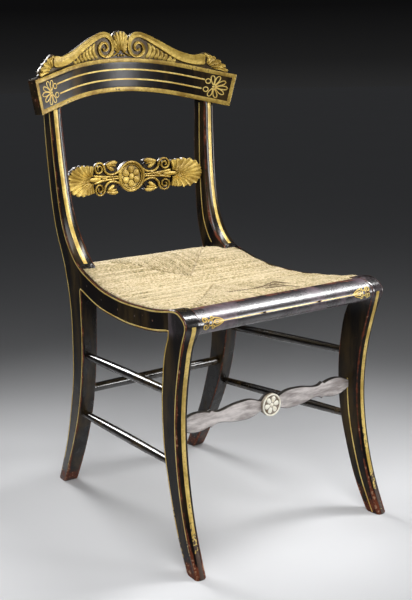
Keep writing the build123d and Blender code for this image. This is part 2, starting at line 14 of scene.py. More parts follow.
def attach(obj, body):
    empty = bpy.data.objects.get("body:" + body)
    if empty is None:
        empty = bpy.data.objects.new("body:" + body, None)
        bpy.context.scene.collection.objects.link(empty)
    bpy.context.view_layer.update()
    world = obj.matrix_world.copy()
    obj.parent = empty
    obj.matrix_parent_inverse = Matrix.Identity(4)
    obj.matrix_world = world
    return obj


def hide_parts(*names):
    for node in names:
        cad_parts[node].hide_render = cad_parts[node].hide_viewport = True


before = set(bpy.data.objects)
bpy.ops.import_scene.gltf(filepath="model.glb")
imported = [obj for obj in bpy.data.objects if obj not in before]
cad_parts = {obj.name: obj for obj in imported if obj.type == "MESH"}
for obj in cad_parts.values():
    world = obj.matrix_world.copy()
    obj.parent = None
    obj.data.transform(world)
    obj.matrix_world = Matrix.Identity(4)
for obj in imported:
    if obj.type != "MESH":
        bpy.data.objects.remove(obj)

LOG = logging.getLogger("chair")

Pair = Tuple[float, float]
Outline = Sequence[Pair]
Surface = Callable[[float, float, float], np.ndarray]
Colour = Tuple[float, float, float]
Marks = Dict[str, Union[float, np.ndarray]]

MILLIMETRE = 0.001
DATUM_SHIFT = -12.43            # the outlines' Y is measured from a datum this far behind the origin
HALF_WIDTH = 188.0              # from the middle to a side frame's outer face, at the datum
SPLAY = math.radians(4.8)       # how far each side frame turns in towards the back
LEAN_START = 440.0              # the stiles lean in above this height
STILE_TOP = 766.0
JOINT_LOW, JOINT_HIGH = 398.0, 438.5    # heights of the strip's joint on the rear leg
LEG_JOINT_LOW = 386.0           # height of the strip's lower edge on the front leg


class Hand(Enum):
    """The two sides of the chair, as seen from the front."""

    LEFT = -1
    RIGHT = 1


class Slot(Enum):
    """The record's material slots."""

    BLACK = "black_paint"
    GILT = "gilt"
    FADED = "faded_paint"
    CREAM = "cream_paint"
    RUSH = "rush"
    WOOD = "bare_wood"
    IRON = "iron"


class Section(Enum):
    """How a carved or painted band rises across its width."""

    FLAT = "flat"
    ROUND = "round"
    FLUTE = "flute"


# where a band's points lie across it, on its front and on its back
ACROSS: Dict[Section, Sequence[float]] = {
    Section.FLAT: (0.0, 0.1, 0.5, 0.9, 1.0),
    Section.ROUND: (0.0, 0.06, 0.22, 0.5, 0.78, 0.94, 1.0),
    Section.FLUTE: (0.0, 0.08, 0.3, 0.5, 0.7, 0.92, 1.0),
}
BACK_ACROSS = (0.85, 0.15)


def placed(x: float, y: float, z: float) -> np.ndarray:
    """Return a place in metres, from millimetres right of the middle, behind the datum and above the floor."""
    return np.array((x, y + DATUM_SHIFT, z)) * MILLIMETRE


def splayed(u: float, inset: float) -> Pair:
    """Return X and Y at a depth along the right side frame and an inset into the chair."""
    sine, cosine = math.sin(SPLAY), math.cos(SPLAY)
    return HALF_WIDTH - u * sine - inset * cosine, u * cosine - inset * sine


def frame_x(y: float, inset: float) -> float:
    """Return how far from the middle a side frame is at a depth Y and an inset."""
    return splayed((y + inset * math.sin(SPLAY)) / math.cos(SPLAY), inset)[0]


def eased(value: float, low: float, high: float) -> float:
    """Return how far a value has come from low (0) to high (1), with soft ends."""
    share = min(max((value - low) / (high - low), 0.0), 1.0)
    return share * share * (3 - 2 * share)


def both_ways(values: Sequence[float]) -> List[float]:
    """Return values from 0 up with their negatives before them."""
    return [-value for value in reversed(values[1:])] + list(values)


def round_turns(count: int, closed: bool = False) -> List[float]:
    """Return angles spread round a full turn; a closed run ends where it starts."""
    return [2 * math.pi * i / count for i in range(count + closed)]


class Smooth:
    """A line through points whose curvature changes evenly."""

    def __init__(self, points: Sequence[Sequence[float]]) -> None:
        """Fit the line.

        Args:
            points: The points it runs through.
        """
        self.points = np.array(points, float)
        self.steps = np.maximum(np.linalg.norm(np.diff(self.points, axis=0), axis=1), 1e-6)
        self.knots = np.concatenate([[0.0], np.cumsum(self.steps)])
        count = len(self.points)
        grid = np.eye(count)
        pull = np.zeros_like(self.points)
        for i in range(1, count - 1):
            before, after = self.steps[i - 1], self.steps[i]
            grid[i, i - 1:i + 2] = (before, 2 * (before + after), after)
            rise = (self.points[i + 1] - self.points[i]) / after
            pull[i] = 6 * (rise - (self.points[i] - self.points[i - 1]) / before)
        self.bend = np.linalg.solve(grid, pull)

    def at_point(self, place: float) -> np.ndarray:
        """Return the place on the line at a point's number, which may have a fraction.

        Args:
            place: The point's number, from 0.

        Returns:
            The place.
        """
        i = min(max(int(place), 0), len(self.steps) - 1)
        after = place - i
        before = 1 - after
        square = self.steps[i] ** 2 / 6
        sag = (before ** 3 - before) * self.bend[i] + (after ** 3 - after) * self.bend[i + 1]
        return before * self.points[i] + after * self.points[i + 1] + sag * square

    def at(self, share: float) -> np.ndarray:
        """Return the place at a share of the line's length.

        Args:
            share: From 0 at the start to 1 at the end.

        Returns:
            The place.
        """
        length = min(max(share, 0.0), 1.0) * self.knots[-1]
        i = min(max(int(np.searchsorted(self.knots, length)) - 1, 0), len(self.steps) - 1)
        return self.at_point(i + (length - self.knots[i]) / self.steps[i])

    def run(self, count: int) -> List[np.ndarray]:
        """Return a number of places spread evenly along the line."""
        return [self.at(i / (count - 1)) for i in range(count)]


class Gauge:
    """Reads the first coordinate of a line from its second one."""

    def __init__(self, points: Outline, flip: bool = False) -> None:
        """Sample the line.

        Args:
            points: The line's points.
            flip: Read the second coordinate from the first one instead.
        """
        run = np.array(Smooth(points).run(400))
        if flip:
            run = run[:, ::-1]
        order = np.argsort(run[:, 1], kind="stable")
        self.heights = run[order, 1]
        self.values = run[order, 0]

    def __call__(self, height: float) -> float:
        """Return the first coordinate at a height."""
        return float(np.interp(height, self.heights, self.values))


def offset(path: Sequence[np.ndarray], distance: Union[float, np.ndarray]) -> List[np.ndarray]:
    """Move a flat line sideways.

    Args:
        path: The line's points.
        distance: How far it moves to its left, or how far each point does.

    Returns:
        The moved points.
    """
    points = np.array(path, float)
    ways = np.gradient(points, axis=0)
    ways /= np.maximum(np.linalg.norm(ways, axis=1, keepdims=True), 1e-9)
    return list(points + np.reshape(distance, (-1, 1)) * np.stack([-ways[:, 1], ways[:, 0]], axis=1))


# ---- finishes ----------------------------------------------------------------
Number = Union["Value", float]


class Value:
    """An output socket of a finish; arithmetic on it adds Math nodes."""

    def __init__(self, graph: "Graph", socket: bpy.types.NodeSocket) -> None:
        """Wrap an output socket of a graph."""
        self.graph = graph
        self.socket = socket

    def _math(self, operation: str, left: Number, right: Number) -> "Value":
        """Return the result of a Math node."""
        return self.graph.node("ShaderNodeMath", {"operation": operation}, {0: left, 1: right})

    def __add__(self, other: Number) -> "Value":
        """Add."""
        return self._math("ADD", self, other)

    def __radd__(self, other: Number) -> "Value":
        """Add, with the number first."""
        return self._math("ADD", other, self)

    def __sub__(self, other: Number) -> "Value":
        """Subtract."""
        return self._math("SUBTRACT", self, other)

    def __rsub__(self, other: Number) -> "Value":
        """Subtract from a number."""
        return self._math("SUBTRACT", other, self)

    def __mul__(self, other: Number) -> "Value":
        """Multiply."""
        return self._math("MULTIPLY", self, other)

    def __rmul__(self, other: Number) -> "Value":
        """Multiply, with the number first."""
        return self._math("MULTIPLY", other, self)

    def sine(self) -> "Value":
        """Return the sine."""
        return self._math("SINE", self, 0.0)

    def between(self, low: float, high: float) -> "Value":
        """Return how far this has come from low (0) to high (1), with soft ends."""
        settings = {"interpolation_type": "SMOOTHSTEP"}
        return self.graph.node("ShaderNodeMapRange", settings, {0: self, 1: low, 2: high})


class Graph:
    """The nodes of one finish."""

    def __init__(self, name: str, owner: Optional[bpy.types.ID] = None) -> None:
        """Start with no nodes.

        Args:
            name: The name of the material that is made.
            owner: What has the nodes, where it isn't a new material.
        """
        self.owner = owner or bpy.data.materials.new(name)
        self.owner.use_nodes = True
        self.tree = self.owner.node_tree
        self.tree.nodes.clear()

    def node(
        self, kind: str, settings: Optional[dict] = None, values: Optional[dict] = None, output: int = 0
    ) -> Value:
        """Add a node.

        Args:
            kind: The node's type.
            settings: Its settings, which are set first; "stops" are a ramp's stops.
            values: Numbers, colours or links for its sockets, by name or place.
            output: The place of the output that is returned.

        Returns:
            The output.
        """
        made = self.tree.nodes.new(kind)
        for name, setting in (settings or {}).items():
            if name == "stops":
                while len(made.color_ramp.elements) < len(setting):
                    made.color_ramp.elements.new(1.0)
                for stop, (where, colour) in zip(made.color_ramp.elements, setting):
                    stop.position = where
                    stop.color = (*colour, 1.0)
            else:
                setattr(made, name, setting)
        for key, value in (values or {}).items():
            if isinstance(value, Value):
                self.tree.links.new(value.socket, made.inputs[key])
            else:
                made.inputs[key].default_value = value
        return Value(self, made.outputs[output])

    def where(self, stretch: Tuple[float, float, float] = (1.0, 1.0, 1.0)) -> Value:
        """Return the place on the piece, stretched along the axes."""
        spot = self.node("ShaderNodeTexCoord", None, None, 3)
        return self.node("ShaderNodeMapping", None, {"Vector": spot, "Scale": stretch})

    def noise(
        self, scale: float, detail: float, rough: float, stretch: Tuple[float, float, float] = (1.0, 1.0, 1.0)
    ) -> Value:
        """Return clouds of a scale, with finer ones of a strength on them, as a value of about 0.3 to 0.7."""
        values = {"Vector": self.where(stretch), "Scale": scale, "Detail": detail, "Roughness": rough}
        return self.node("ShaderNodeTexNoise", None, values)

    def cells(self, scale: float) -> Value:
        """Return the distance to the nearest of many scattered points."""
        return self.node("ShaderNodeTexVoronoi", None, {"Vector": self.where(), "Scale": scale})

    def mark(self, name: str) -> Value:
        """Return a number that the piece's mesh carries, or 0 where it has none."""
        return self.node("ShaderNodeAttribute", {"attribute_name": name}, None, 2)

    def blend(self, share: Number, first: Union[Value, Colour], second: Union[Value, Colour]) -> Value:
        """Mix two colours; a share of 0 gives the first one."""
        colours = [colour if isinstance(colour, Value) else (*colour, 1.0) for colour in (first, second)]
        return self.node("ShaderNodeMix", {"data_type": "RGBA"}, {0: share, 6: colours[0], 7: colours[1]}, 2)

    def ramp(self, share: Value, stops: Sequence[Tuple[float, Colour]]) -> Value:
        """Return colours laid along a value."""
        return self.node("ShaderNodeValToRGB", {"stops": list(stops)}, {0: share})

    def relief(self, height: Value, strength: float, distance: float) -> Value:
        """Return a surface direction tilted by a height, where 1 stands for a distance in metres."""
        values = {"Height": height, "Strength": strength, "Distance": distance}
        return self.node("ShaderNodeBump", None, values)

    def coat(self, values: dict) -> bpy.types.Material:
        """Close the finish with its shader and return the material."""
        self.close(self.node("ShaderNodeBsdfPrincipled", None, values), "ShaderNodeOutputMaterial")
        return self.owner

    def close(self, shader: Value, kind: str) -> None:
        """Link a shader to an output node of a kind."""
        out = self.tree.nodes.new(kind)
        self.tree.links.new(shader.socket, out.inputs[0])


MADE: Dict[str, bpy.types.Material] = {}    # the finishes' materials so far, by name


@dataclass(frozen=True)
class Finish:
    """A finish with a name; its material is made on first use."""

    name: str
    slot: ClassVar[Slot] = Slot.BLACK    # the record's slot that it stands for

    def material(self) -> bpy.types.Material:
        """Return the finish's material."""
        if self.name not in MADE:
            MADE[self.name] = self.mixed(Graph(self.name))
        return MADE[self.name]

    def mixed(self, graph: Graph) -> bpy.types.Material:
        """Lay out the finish's nodes."""
        raise NotImplementedError(self.name)


@dataclass(frozen=True)
class BlackPaint(Finish):
    """Old black paint under varnish, rubbed to red-brown on the arrises, with a painted purple-grey sheen where the
    sheen mark is set.
    """

    ground: Colour = (0.006, 0.0045, 0.004)
    warm: Colour = (0.05, 0.032, 0.012)
    rubbed: Colour = (0.14, 0.036, 0.016)
    bare: Colour = (0.34, 0.20, 0.12)
    # painted sheen: purple-grey colour that stands in for the gloss's reflection where the sheen mark is set
    painted_sheen: Colour = (0.10, 0.08, 0.09)
    rub: float = 0.5
    gloss: float = 0.2
    shine: float = 0.13
    depth: float = 1.9
    bumps: float = 0.4

    def mixed(self, graph: Graph) -> bpy.types.Material:
        """Lay out the finish's nodes."""
        clouds = graph.noise(24.0, 4.0, 0.62, (1.0, 1.0, 0.22))
        patches = graph.noise(46.0, 4.0, 0.65)
        grain = graph.noise(190.0, 2.0, 0.6)
        edge = graph.mark("wear")
        colour = graph.blend(clouds.between(0.46, 0.72), self.ground, self.warm)
        sheen = graph.mark("sheen")
        # the sheen mark raises the real coat and also paints in a purple-grey sheen colour
        colour = graph.blend(sheen * clouds.between(0.4, 0.62), colour, self.painted_sheen)
        rub = (edge * self.rub + patches * 0.9 + grain * 0.25).between(0.86, 1.12)
        colour = graph.blend(rub, colour, self.rubbed)
        chips = (edge * 0.13 + grain * 0.6 + patches * 0.4).between(0.7, 0.75)
        colour = graph.blend(chips, colour, self.bare)
        specks = graph.cells(330.0).between(0.16, 0.1) * patches.between(0.52, 0.62)
        colour = graph.blend(specks * 0.7, colour, self.rubbed)
        height = grain * 0.5 + patches * 0.6 - chips * 0.7 - rub * 0.3
        polish = ((patches + clouds).between(1.3, 0.8) * 0.5 + 0.5) * (1 - rub * 0.6)
        return graph.coat({
            "Base Color": colour,
            "Roughness": 0.3 + clouds * 0.16 + rub * 0.25,
            "Specular IOR Level": 0.06,
            "Coat Weight": polish * (sheen * 0.7 + self.shine),
            "Coat IOR": self.depth,
            "Coat Roughness": self.gloss,
            "Normal": graph.relief(height, self.bumps, 0.0006),
        })


@dataclass(frozen=True)
class Gilding(Finish):
    """Bronze-powder gilding over black, rubbed on the edges; carved gilding gets painted shade in its hollows."""

    slot: ClassVar[Slot] = Slot.GILT
    bright: Colour = (0.75, 0.54, 0.125)
    middle: Colour = (0.38, 0.24, 0.034)
    # painted shade: the dark colour laid in the carving's hollows
    hollow: Colour = (0.035, 0.018, 0.008)
    chipped: Colour = (0.05, 0.024, 0.014)
    carved: bool = False
    loss: float = 0.0
    metal: float = 0.3
    varnish: float = 0.2

    def mixed(self, graph: Graph) -> bpy.types.Material:
        """Lay out the finish's nodes."""
        clouds = graph.noise(34.0, 4.0, 0.6)
        grain = graph.noise(260.0, 3.0, 0.6)
        tone = graph.blend(clouds.between(0.36, 0.6), self.middle, self.bright)
        tone = graph.blend(grain.between(0.5, 0.66) * 0.6, tone, self.middle)
        fade = graph.mark("fade")
        chips = (grain * 0.55 + clouds * 0.45 + fade * 0.3 + self.loss).between(0.62, 0.67)
        if self.carved:
            # painted shade: darker where the relief mark is low, in the hollows and along each carved band's edges
            depth = graph.mark("relief") + (clouds - 0.5) * 0.35
            tone = graph.blend(depth.between(0.62, 0.16), tone, self.hollow)
        colour = graph.blend(chips, tone, self.chipped)
        height = grain * 0.5 + clouds * 0.3 - chips * 0.5
        return graph.coat({
            "Base Color": colour,
            "Roughness": 0.36 + grain * 0.22 + chips * 0.1,
            "Metallic": (1 - chips) * self.metal,
            "Coat Weight": self.varnish * (1 - chips * 0.5),
            "Coat Roughness": 0.25,
            "Normal": graph.relief(height, 0.3, 0.0005),
        })


@dataclass(frozen=True)
class TwistedRush(Finish):
    """Dry twisted rush, each cord a little different in colour, with painted shade where cords dive under."""

    slot: ClassVar[Slot] = Slot.RUSH
    pale: Colour = (0.68, 0.565, 0.375)
    straw: Colour = (0.43, 0.335, 0.17)
    green: Colour = (0.21, 0.185, 0.08)
    dark: Colour = (0.09, 0.055, 0.03)

    def mixed(self, graph: Graph) -> bpy.types.Material:
        """Lay out the finish's nodes."""
        tint = graph.mark("tint")
        clouds = graph.noise(15.0, 4.0, 0.6)
        blades = graph.noise(230.0, 4.0, 0.7)
        fibres = graph.noise(620.0, 2.0, 0.6)
        colour = graph.ramp(
            tint * 0.3 + blades * 1.8 - 0.56,
            [(0.08, self.dark), (0.26, self.green), (0.46, self.straw), (0.7, self.pale)],
        )
        colour = graph.blend(clouds.between(0.44, 0.62) * 0.3, colour, self.pale)
        colour = graph.blend(fibres.between(0.56, 0.72) * 0.4, colour, self.straw)
        # painted shade: darkens cords where they dive at seams and edges, along the parting, on the loose ends and on
        # the stuffing
        colour = graph.blend(graph.mark("dusk"), colour, self.dark)
        lay = graph.node("ShaderNodeUVMap", {"uv_map": "lay"})
        split = graph.node("ShaderNodeSeparateXYZ", None, {0: lay})
        along = graph.node("ShaderNodeSeparateXYZ", None, {0: lay}, 1)
        twist = ((split + along * graph.mark("turns")) * (2 * math.pi)).sine()
        height = twist * 0.32 + fibres * 0.4 + blades * 0.3
        return graph.coat({
            "Base Color": colour,
            "Roughness": 0.66 + fibres * 0.2,
            "Specular IOR Level": 0.35,
            "Normal": graph.relief(height, 0.6, 0.0009),
        })


@dataclass(frozen=True)
class RubbedPaint(Finish):
    """Flat paint, faded and rubbed through on its edges."""

    slot: ClassVar[Slot] = Slot.FADED
    ground: Colour = (0.27, 0.235, 0.225)
    faded: Colour = (0.70, 0.65, 0.63)
    edge: Colour = (0.012, 0.009, 0.008)

    def mixed(self, graph: Graph) -> bpy.types.Material:
        """Lay out the finish's nodes."""
        clouds = graph.noise(18.0, 4.0, 0.62, (0.5, 1.0, 1.6))
        grain = graph.noise(150.0, 4.0, 0.65, (0.18, 1.0, 1.0))
        colour = graph.blend((clouds * 0.6 + grain * 0.4).between(0.4, 0.62), self.ground, self.faded)
        rim = (graph.mark("wear") * 0.7 + grain * 0.5).between(0.55, 0.95)
        colour = graph.blend(rim, colour, self.edge)
        scars = graph.noise(85.0, 3.0, 0.7, (0.3, 1.0, 1.0)).between(0.64, 0.7)
        colour = graph.blend(scars * 0.6, colour, (0.30, 0.23, 0.19))
        return graph.coat({
            "Base Color": colour,
            "Roughness": 0.46 + grain * 0.2,
            "Coat Weight": 0.12 + clouds * 0.1,
            "Coat Roughness": 0.3,
            "Normal": graph.relief(grain * 0.7 + clouds * 0.3, 0.35, 0.0006),
        })


@dataclass(frozen=True)
class CreamPaint(Finish):
    """Dull cream paint, with painted shade where its relief mark is low."""

    slot: ClassVar[Slot] = Slot.CREAM
    cream: Colour = (0.95, 0.92, 0.80)
    stained: Colour = (0.78, 0.68, 0.48)
    hollow: Colour = (0.13, 0.085, 0.045)

    def mixed(self, graph: Graph) -> bpy.types.Material:
        """Lay out the finish's nodes."""
        clouds = graph.noise(90.0, 4.0, 0.6)
        grain = graph.noise(400.0, 2.0, 0.6)
        colour = graph.blend(clouds.between(0.48, 0.68) * 0.6, self.cream, self.stained)
        # painted shade: darker where the relief mark is low, between the petals and down the roundel's side; the same
        # dark colour shows in the chips
        depth = graph.mark("relief") + (clouds - 0.5) * 0.4
        colour = graph.blend(depth.between(0.4, 0.02), colour, self.hollow)
        chips = (grain * 0.6 + clouds * 0.4).between(0.64, 0.68)
        colour = graph.blend(chips, colour, self.hollow)
        return graph.coat({
            "Base Color": colour,
            "Roughness": 0.5 + grain * 0.2,
            "Normal": graph.relief(grain * 0.5 + clouds * 0.5, 0.3, 0.0004),
        })


@dataclass(frozen=True)
class PlainWood(Finish):
    """Unfinished hardwood with long grain."""

    slot: ClassVar[Slot] = Slot.WOOD
    light: Colour = (0.52, 0.36, 0.20)
    deep: Colour = (0.33, 0.20, 0.10)
    stretch: Tuple[float, float, float] = (1.0, 0.12, 1.0)

    def mixed(self, graph: Graph) -> bpy.types.Material:
        """Lay out the finish's nodes."""
        rings = graph.noise(70.0, 4.0, 0.6, self.stretch)
        pores = graph.noise(420.0, 2.0, 0.5, self.stretch)
        colour = graph.blend(rings.between(0.38, 0.64), self.light, self.deep)
        colour = graph.blend(pores.between(0.58, 0.7) * 0.5, colour, self.deep)
        return graph.coat({
            "Base Color": colour,
            "Roughness": 0.6 + pores * 0.2,
            "Normal": graph.relief(rings * 0.5 + pores * 0.5, 0.3, 0.0005),
        })


@dataclass(frozen=True)
class OldIron(Finish):
    """Dark oxidised iron with a little rust."""

    slot: ClassVar[Slot] = Slot.IRON
    dark: Colour = (0.10, 0.09, 0.085)
    rust: Colour = (0.17, 0.075, 0.035)

    def mixed(self, graph: Graph) -> bpy.types.Material:
        """Lay out the finish's nodes."""
        bloom = graph.noise(300.0, 4.0, 0.65)
        pits = graph.noise(1400.0, 2.0, 0.5)
        spread = bloom.between(0.45, 0.62)
        return graph.coat({
            "Base Color": graph.blend(spread, self.dark, self.rust),
            "Metallic": 0.85 - spread * 0.6,
            "Roughness": 0.42 + spread * 0.3,
            "Normal": graph.relief(pits * 0.6 + bloom * 0.4, 0.35, 0.0003),
        })


@dataclass(frozen=True)
class StudioFloor(Finish):
    """Pale matt studio floor."""

    pale: Colour = (0.61, 0.615, 0.63)

    def mixed(self, graph: Graph) -> bpy.types.Material:
        """Lay out the finish's nodes."""
        clouds = graph.noise(1.3, 3.0, 0.5)
        colour = graph.blend(clouds, self.pale, tuple(0.94 * part for part in self.pale))
        return graph.coat({"Base Color": colour, "Roughness": 0.55 + clouds * 0.1})


BLACK = BlackPaint("aged_black")
BLACK_STILE = BlackPaint("aged_black_stile", shine=0.9, depth=1.5)
# the roll's lighter purple-grey ground and mottling are a painted sheen, standing in for the reflection on its glossy
# round
BLACK_ROLL = BlackPaint(
    "aged_black_roll", ground=(0.02, 0.015, 0.018), warm=(0.14, 0.10, 0.12), rubbed=(0.17, 0.05, 0.025), gloss=0.27,
    shine=0.95, depth=2.1, bumps=0.8,
)
BLACK_CREST = BlackPaint("aged_black_crest", rub=0.3, gloss=0.26, shine=0.55, depth=1.5)
BLACK_RODS = BlackPaint("aged_black_turned", rub=0.2, gloss=0.16, shine=0.9, bumps=0.12)
GILT_CARVING = Gilding("gilding_carved", carved=True)
GILT_BAND = Gilding("gilding_band", bright=(0.82, 0.60, 0.17), middle=(0.50, 0.33, 0.055), loss=-0.01, varnish=0.6)
GILT_BORDER = Gilding("gilding_border", bright=(0.58, 0.41, 0.09), middle=(0.28, 0.165, 0.022), loss=0.02)
GILT_LINE = Gilding("gilding_line", bright=(0.84, 0.64, 0.20), middle=(0.62, 0.40, 0.075), loss=-0.03, varnish=0.4)
RUSH = TwistedRush("twisted_rush")
FADED = RubbedPaint("rubbed_paint")
CREAM = CreamPaint("dull_cream")
WOOD = PlainWood("plain_wood")
WOOD_ACROSS = PlainWood("plain_wood_across", stretch=(0.12, 1.0, 1.0))
IRON = OldIron("old_iron")
FLOOR = StudioFloor("studio_floor")


# ---- workbench ---------------------------------------------------------------
def deselect() -> None:
    """Leave nothing selected, in object mode."""
    if bpy.context.object and bpy.context.object.mode != "OBJECT":
        bpy.ops.object.mode_set(mode="OBJECT")
    bpy.ops.object.select_all(action="DESELECT")


class Bench:
    """Extrudes tube blanks, shapes copies of them, and joins the shapes that lie on it into pieces."""

    def __init__(self) -> None:
        """Start with no blanks and nothing on the bench."""
        self.shapes: List[bpy.types.Object] = []
        self.blanks: Dict[Tuple[int, int], Tuple[bpy.types.Mesh, np.ndarray]] = {}

    def blank(self, rings: int, sides: int) -> Tuple[bpy.types.Mesh, np.ndarray]:
        """Return a straight closed tube and the order of its points.

        Args:
            rings: How many rings of points it has.
            sides: How many points a ring has.

        Returns:
            The mesh, and each point's place in it, ring by ring.
        """
        if (rings, sides) in self.blanks:
            return self.blanks[rings, sides]
        deselect()
        bpy.ops.mesh.primitive_circle_add(vertices=sides, radius=1.0, fill_type="NGON", location=(0, 0, 0))
        made = bpy.context.object
        bpy.ops.object.mode_set(mode="EDIT")
        bpy.ops.mesh.select_all(action="SELECT")
        for _ in range(rings - 1):
            bpy.ops.mesh.extrude_region_move(TRANSFORM_OT_translate={"value": (0, 0, 1.0)})
        bpy.ops.mesh.select_all(action="SELECT")
        bpy.ops.mesh.normals_make_consistent(inside=False)
        bpy.ops.object.mode_set(mode="OBJECT")
        mesh = made.data
        base = math.atan2(mesh.vertices[0].co.y, mesh.vertices[0].co.x)
        ring_of, side_of = [], []
        order = np.zeros(rings * sides, int)
        for vertex in mesh.vertices:
            turn = (math.atan2(vertex.co.y, vertex.co.x) - base) / (2 * math.pi) * sides
            ring_of.append(round(vertex.co.z))
            side_of.append(round(turn) % sides)
            order[ring_of[-1] * sides + side_of[-1]] = vertex.index
        while mesh.uv_layers:
            mesh.uv_layers.remove(mesh.uv_layers[0])
        lay = mesh.uv_layers.new(name="lay")
        for face in mesh.polygons:
            around = [side_of[v] for v in face.vertices]
            wraps = len(face.vertices) == 4 and max(around) - min(around) > 1
            for corner, vertex in zip(face.loop_indices, face.vertices):
                side = side_of[vertex] or (sides if wraps else 0)
                lay.data[corner].uv = (side / sides, ring_of[vertex] / (rings - 1))
        bpy.data.objects.remove(made)
        self.blanks[rings, sides] = (mesh, order)
        return mesh, order

    def loft(self, rings: Sequence[Sequence[np.ndarray]], marks: Optional[Marks] = None) -> None:
        """Shape a closed tube blank to rings of places.

        Args:
            rings: The places, ring by ring, in metres.
            marks: Numbers for the points, by name, in the same order or one for all.
        """
        places = np.array(rings, float)
        count, sides = places.shape[:2]
        blank, order = self.blank(count, sides)
        mesh = blank.copy()
        coordinates = np.empty((count * sides, 3))
        coordinates[order] = places.reshape(-1, 3)
        mesh.vertices.foreach_set("co", coordinates.ravel())
        for name, numbers in (marks or {}).items():
            layer = mesh.attributes.new(name, "FLOAT", "POINT")
            spread = np.empty(count * sides, np.float32)
            spread[order] = np.broadcast_to(numbers, (count, sides)).ravel()
            layer.data.foreach_set("value", spread)
        shape = bpy.data.objects.new("shape", mesh)
        bpy.context.scene.collection.objects.link(shape)
        self.shapes.append(shape)

    def tube(self, path: Sequence[np.ndarray], radii: Sequence[float], marks: Marks) -> None:
        """Shape a cord of six sides along a path.

        Args:
            path: Places along its middle, in metres.
            radii: Its radius at each place, in millimetres.
            marks: Numbers for the points.
        """
        points = np.array(path, float)
        ways = np.gradient(points, axis=0)
        ways /= np.maximum(np.linalg.norm(ways, axis=1, keepdims=True), 1e-12)
        up = np.array((0.0, 0.0, 1.0)) if abs(ways[0][2]) < 0.9 else np.array((0.0, 1.0, 0.0))
        rings = []
        for point, way, radius in zip(points, ways, radii):
            across = np.cross(way, up)
            across /= np.linalg.norm(across)
            up = np.cross(across, way)
            turns = [2 * math.pi * (i + 0.5) / 6 for i in range(6)]
            rings.append([point + radius * MILLIMETRE * (math.cos(t) * across + math.sin(t) * up) for t in turns])
        self.loft(rings, marks)

    def band(
        self, surface: Surface, left: Outline, right: Outline, section: Section, rise: float,
        low: float = 0.0, back: float = 0.5, ends: Pair = (0.0, 0.0), fade: Optional[Sequence[float]] = None,
    ) -> None:
        """Lay a closed band between two lines of a surface.

        Args:
            surface: Gives the place at two coordinates and a depth below the surface.
            left: One edge, point by point.
            right: The other edge, with as many points.
            section: How the band rises across its width.
            rise: How far it rises above its edges.
            low: Depth of its edges below the surface.
            back: Depth of its back.
            ends: Share of its length over which each end tapers.
            fade: How worn it is, point by point.
        """
        across = ACROSS[section]
        rings, relief = [], []
        for i, (a, b) in enumerate(zip(left, right)):
            share = i / (len(left) - 1)
            taper = 1.0
            for end, part in zip(ends, (share, 1 - share)):
                if end > 0 and part < end:
                    taper = min(taper, math.sqrt(max(1 - (1 - part / end) ** 2, 0.0)))
            ring, heights = [], []
            for t in (*across, *BACK_ACROSS):
                inward = 0.5 + (t - 0.5) * (0.25 + 0.75 * taper)
                depth, height = back, 0.0
                if len(ring) < len(across):
                    height = 0.0 if t in (0.0, 1.0) else 1.0
                    if section is Section.ROUND:
                        height = math.sqrt(max(1 - (2 * t - 1) ** 2, 0.0))
                    elif section is Section.FLUTE and height:
                        height = 1.0 - 0.45 * (1 - abs(2 * t - 1)) ** 2
                    depth = low - rise * height * taper
                ring.append(surface(a[0] + (b[0] - a[0]) * inward, a[1] + (b[1] - a[1]) * inward, depth))
                # the relief mark sets the carving's painted shade: low at the band's edges and in a flute's groove
                heights.append((0.55 if section is Section.FLUTE and t == 0.5 else height) * taper)
            rings.append(ring)
            relief.append(heights)
        worn = np.zeros(len(left)) if fade is None else np.array(fade)
        self.loft(rings, {"relief": np.array(relief), "fade": worn[:, None]})

    def rib(
        self, surface: Surface, path: Outline, widths: Sequence[float], count: int, rise: float, low: float = 0.1,
        back: float = 0.5, ends: Pair = (0.0, 0.0), section: Section = Section.ROUND, side: int = 1, up: int = 1,
    ) -> None:
        """Lay a closed band along one line of a surface.

        Args:
            surface: Gives the place at two coordinates and a depth below the surface.
            path: The line's points.
            widths: The band's width at points spread evenly along the line.
            count: How many rings the band has.
            rise: How far it rises above its edges.
            low: Depth of its edges below the surface.
            back: Depth of its back.
            ends: Share of its length over which each end tapers.
            section: How the band rises across its width.
            side: -1 turns the line to the other side of the middle.
            up: -1 turns it upside down.
        """
        middle = Smooth([(side * x, up * z) for x, z in path]).run(count)
        shares = np.linspace(0, 1, count)
        half = np.interp(shares, np.linspace(0, 1, len(widths)), widths) / 2
        self.band(surface, offset(middle, half), offset(middle, -half), section, rise, low, back, ends)

    def marked(self, rings: Sequence[Sequence[Tuple[np.ndarray, float]]], mark: str = "wear") -> None:
        """Shape a closed piece from rings of places, each with the number of a mark."""
        numbers = np.array([[number for _, number in ring] for ring in rings])
        self.loft([[place for place, _ in ring] for ring in rings], {mark: numbers})

    def disc(
        self, surface: Surface, profile: Sequence[Tuple[float, float, float]], sides: int,
        middle: Pair = (0.0, 0.0), mark: str = "relief",
    ) -> None:
        """Turn a closed round shape on a surface.

        Args:
            surface: Gives the place at two coordinates and a depth below the surface.
            profile: Radius, depth and the mark's number, ring by ring.
            sides: How many sides it has.
            middle: The coordinates of its middle.
            mark: The mark's name.
        """
        x, z = middle
        self.marked([
            [(surface(x + r * math.cos(t), z + r * math.sin(t), depth), number) for t in round_turns(sides)]
            for r, depth, number in profile
        ], mark)

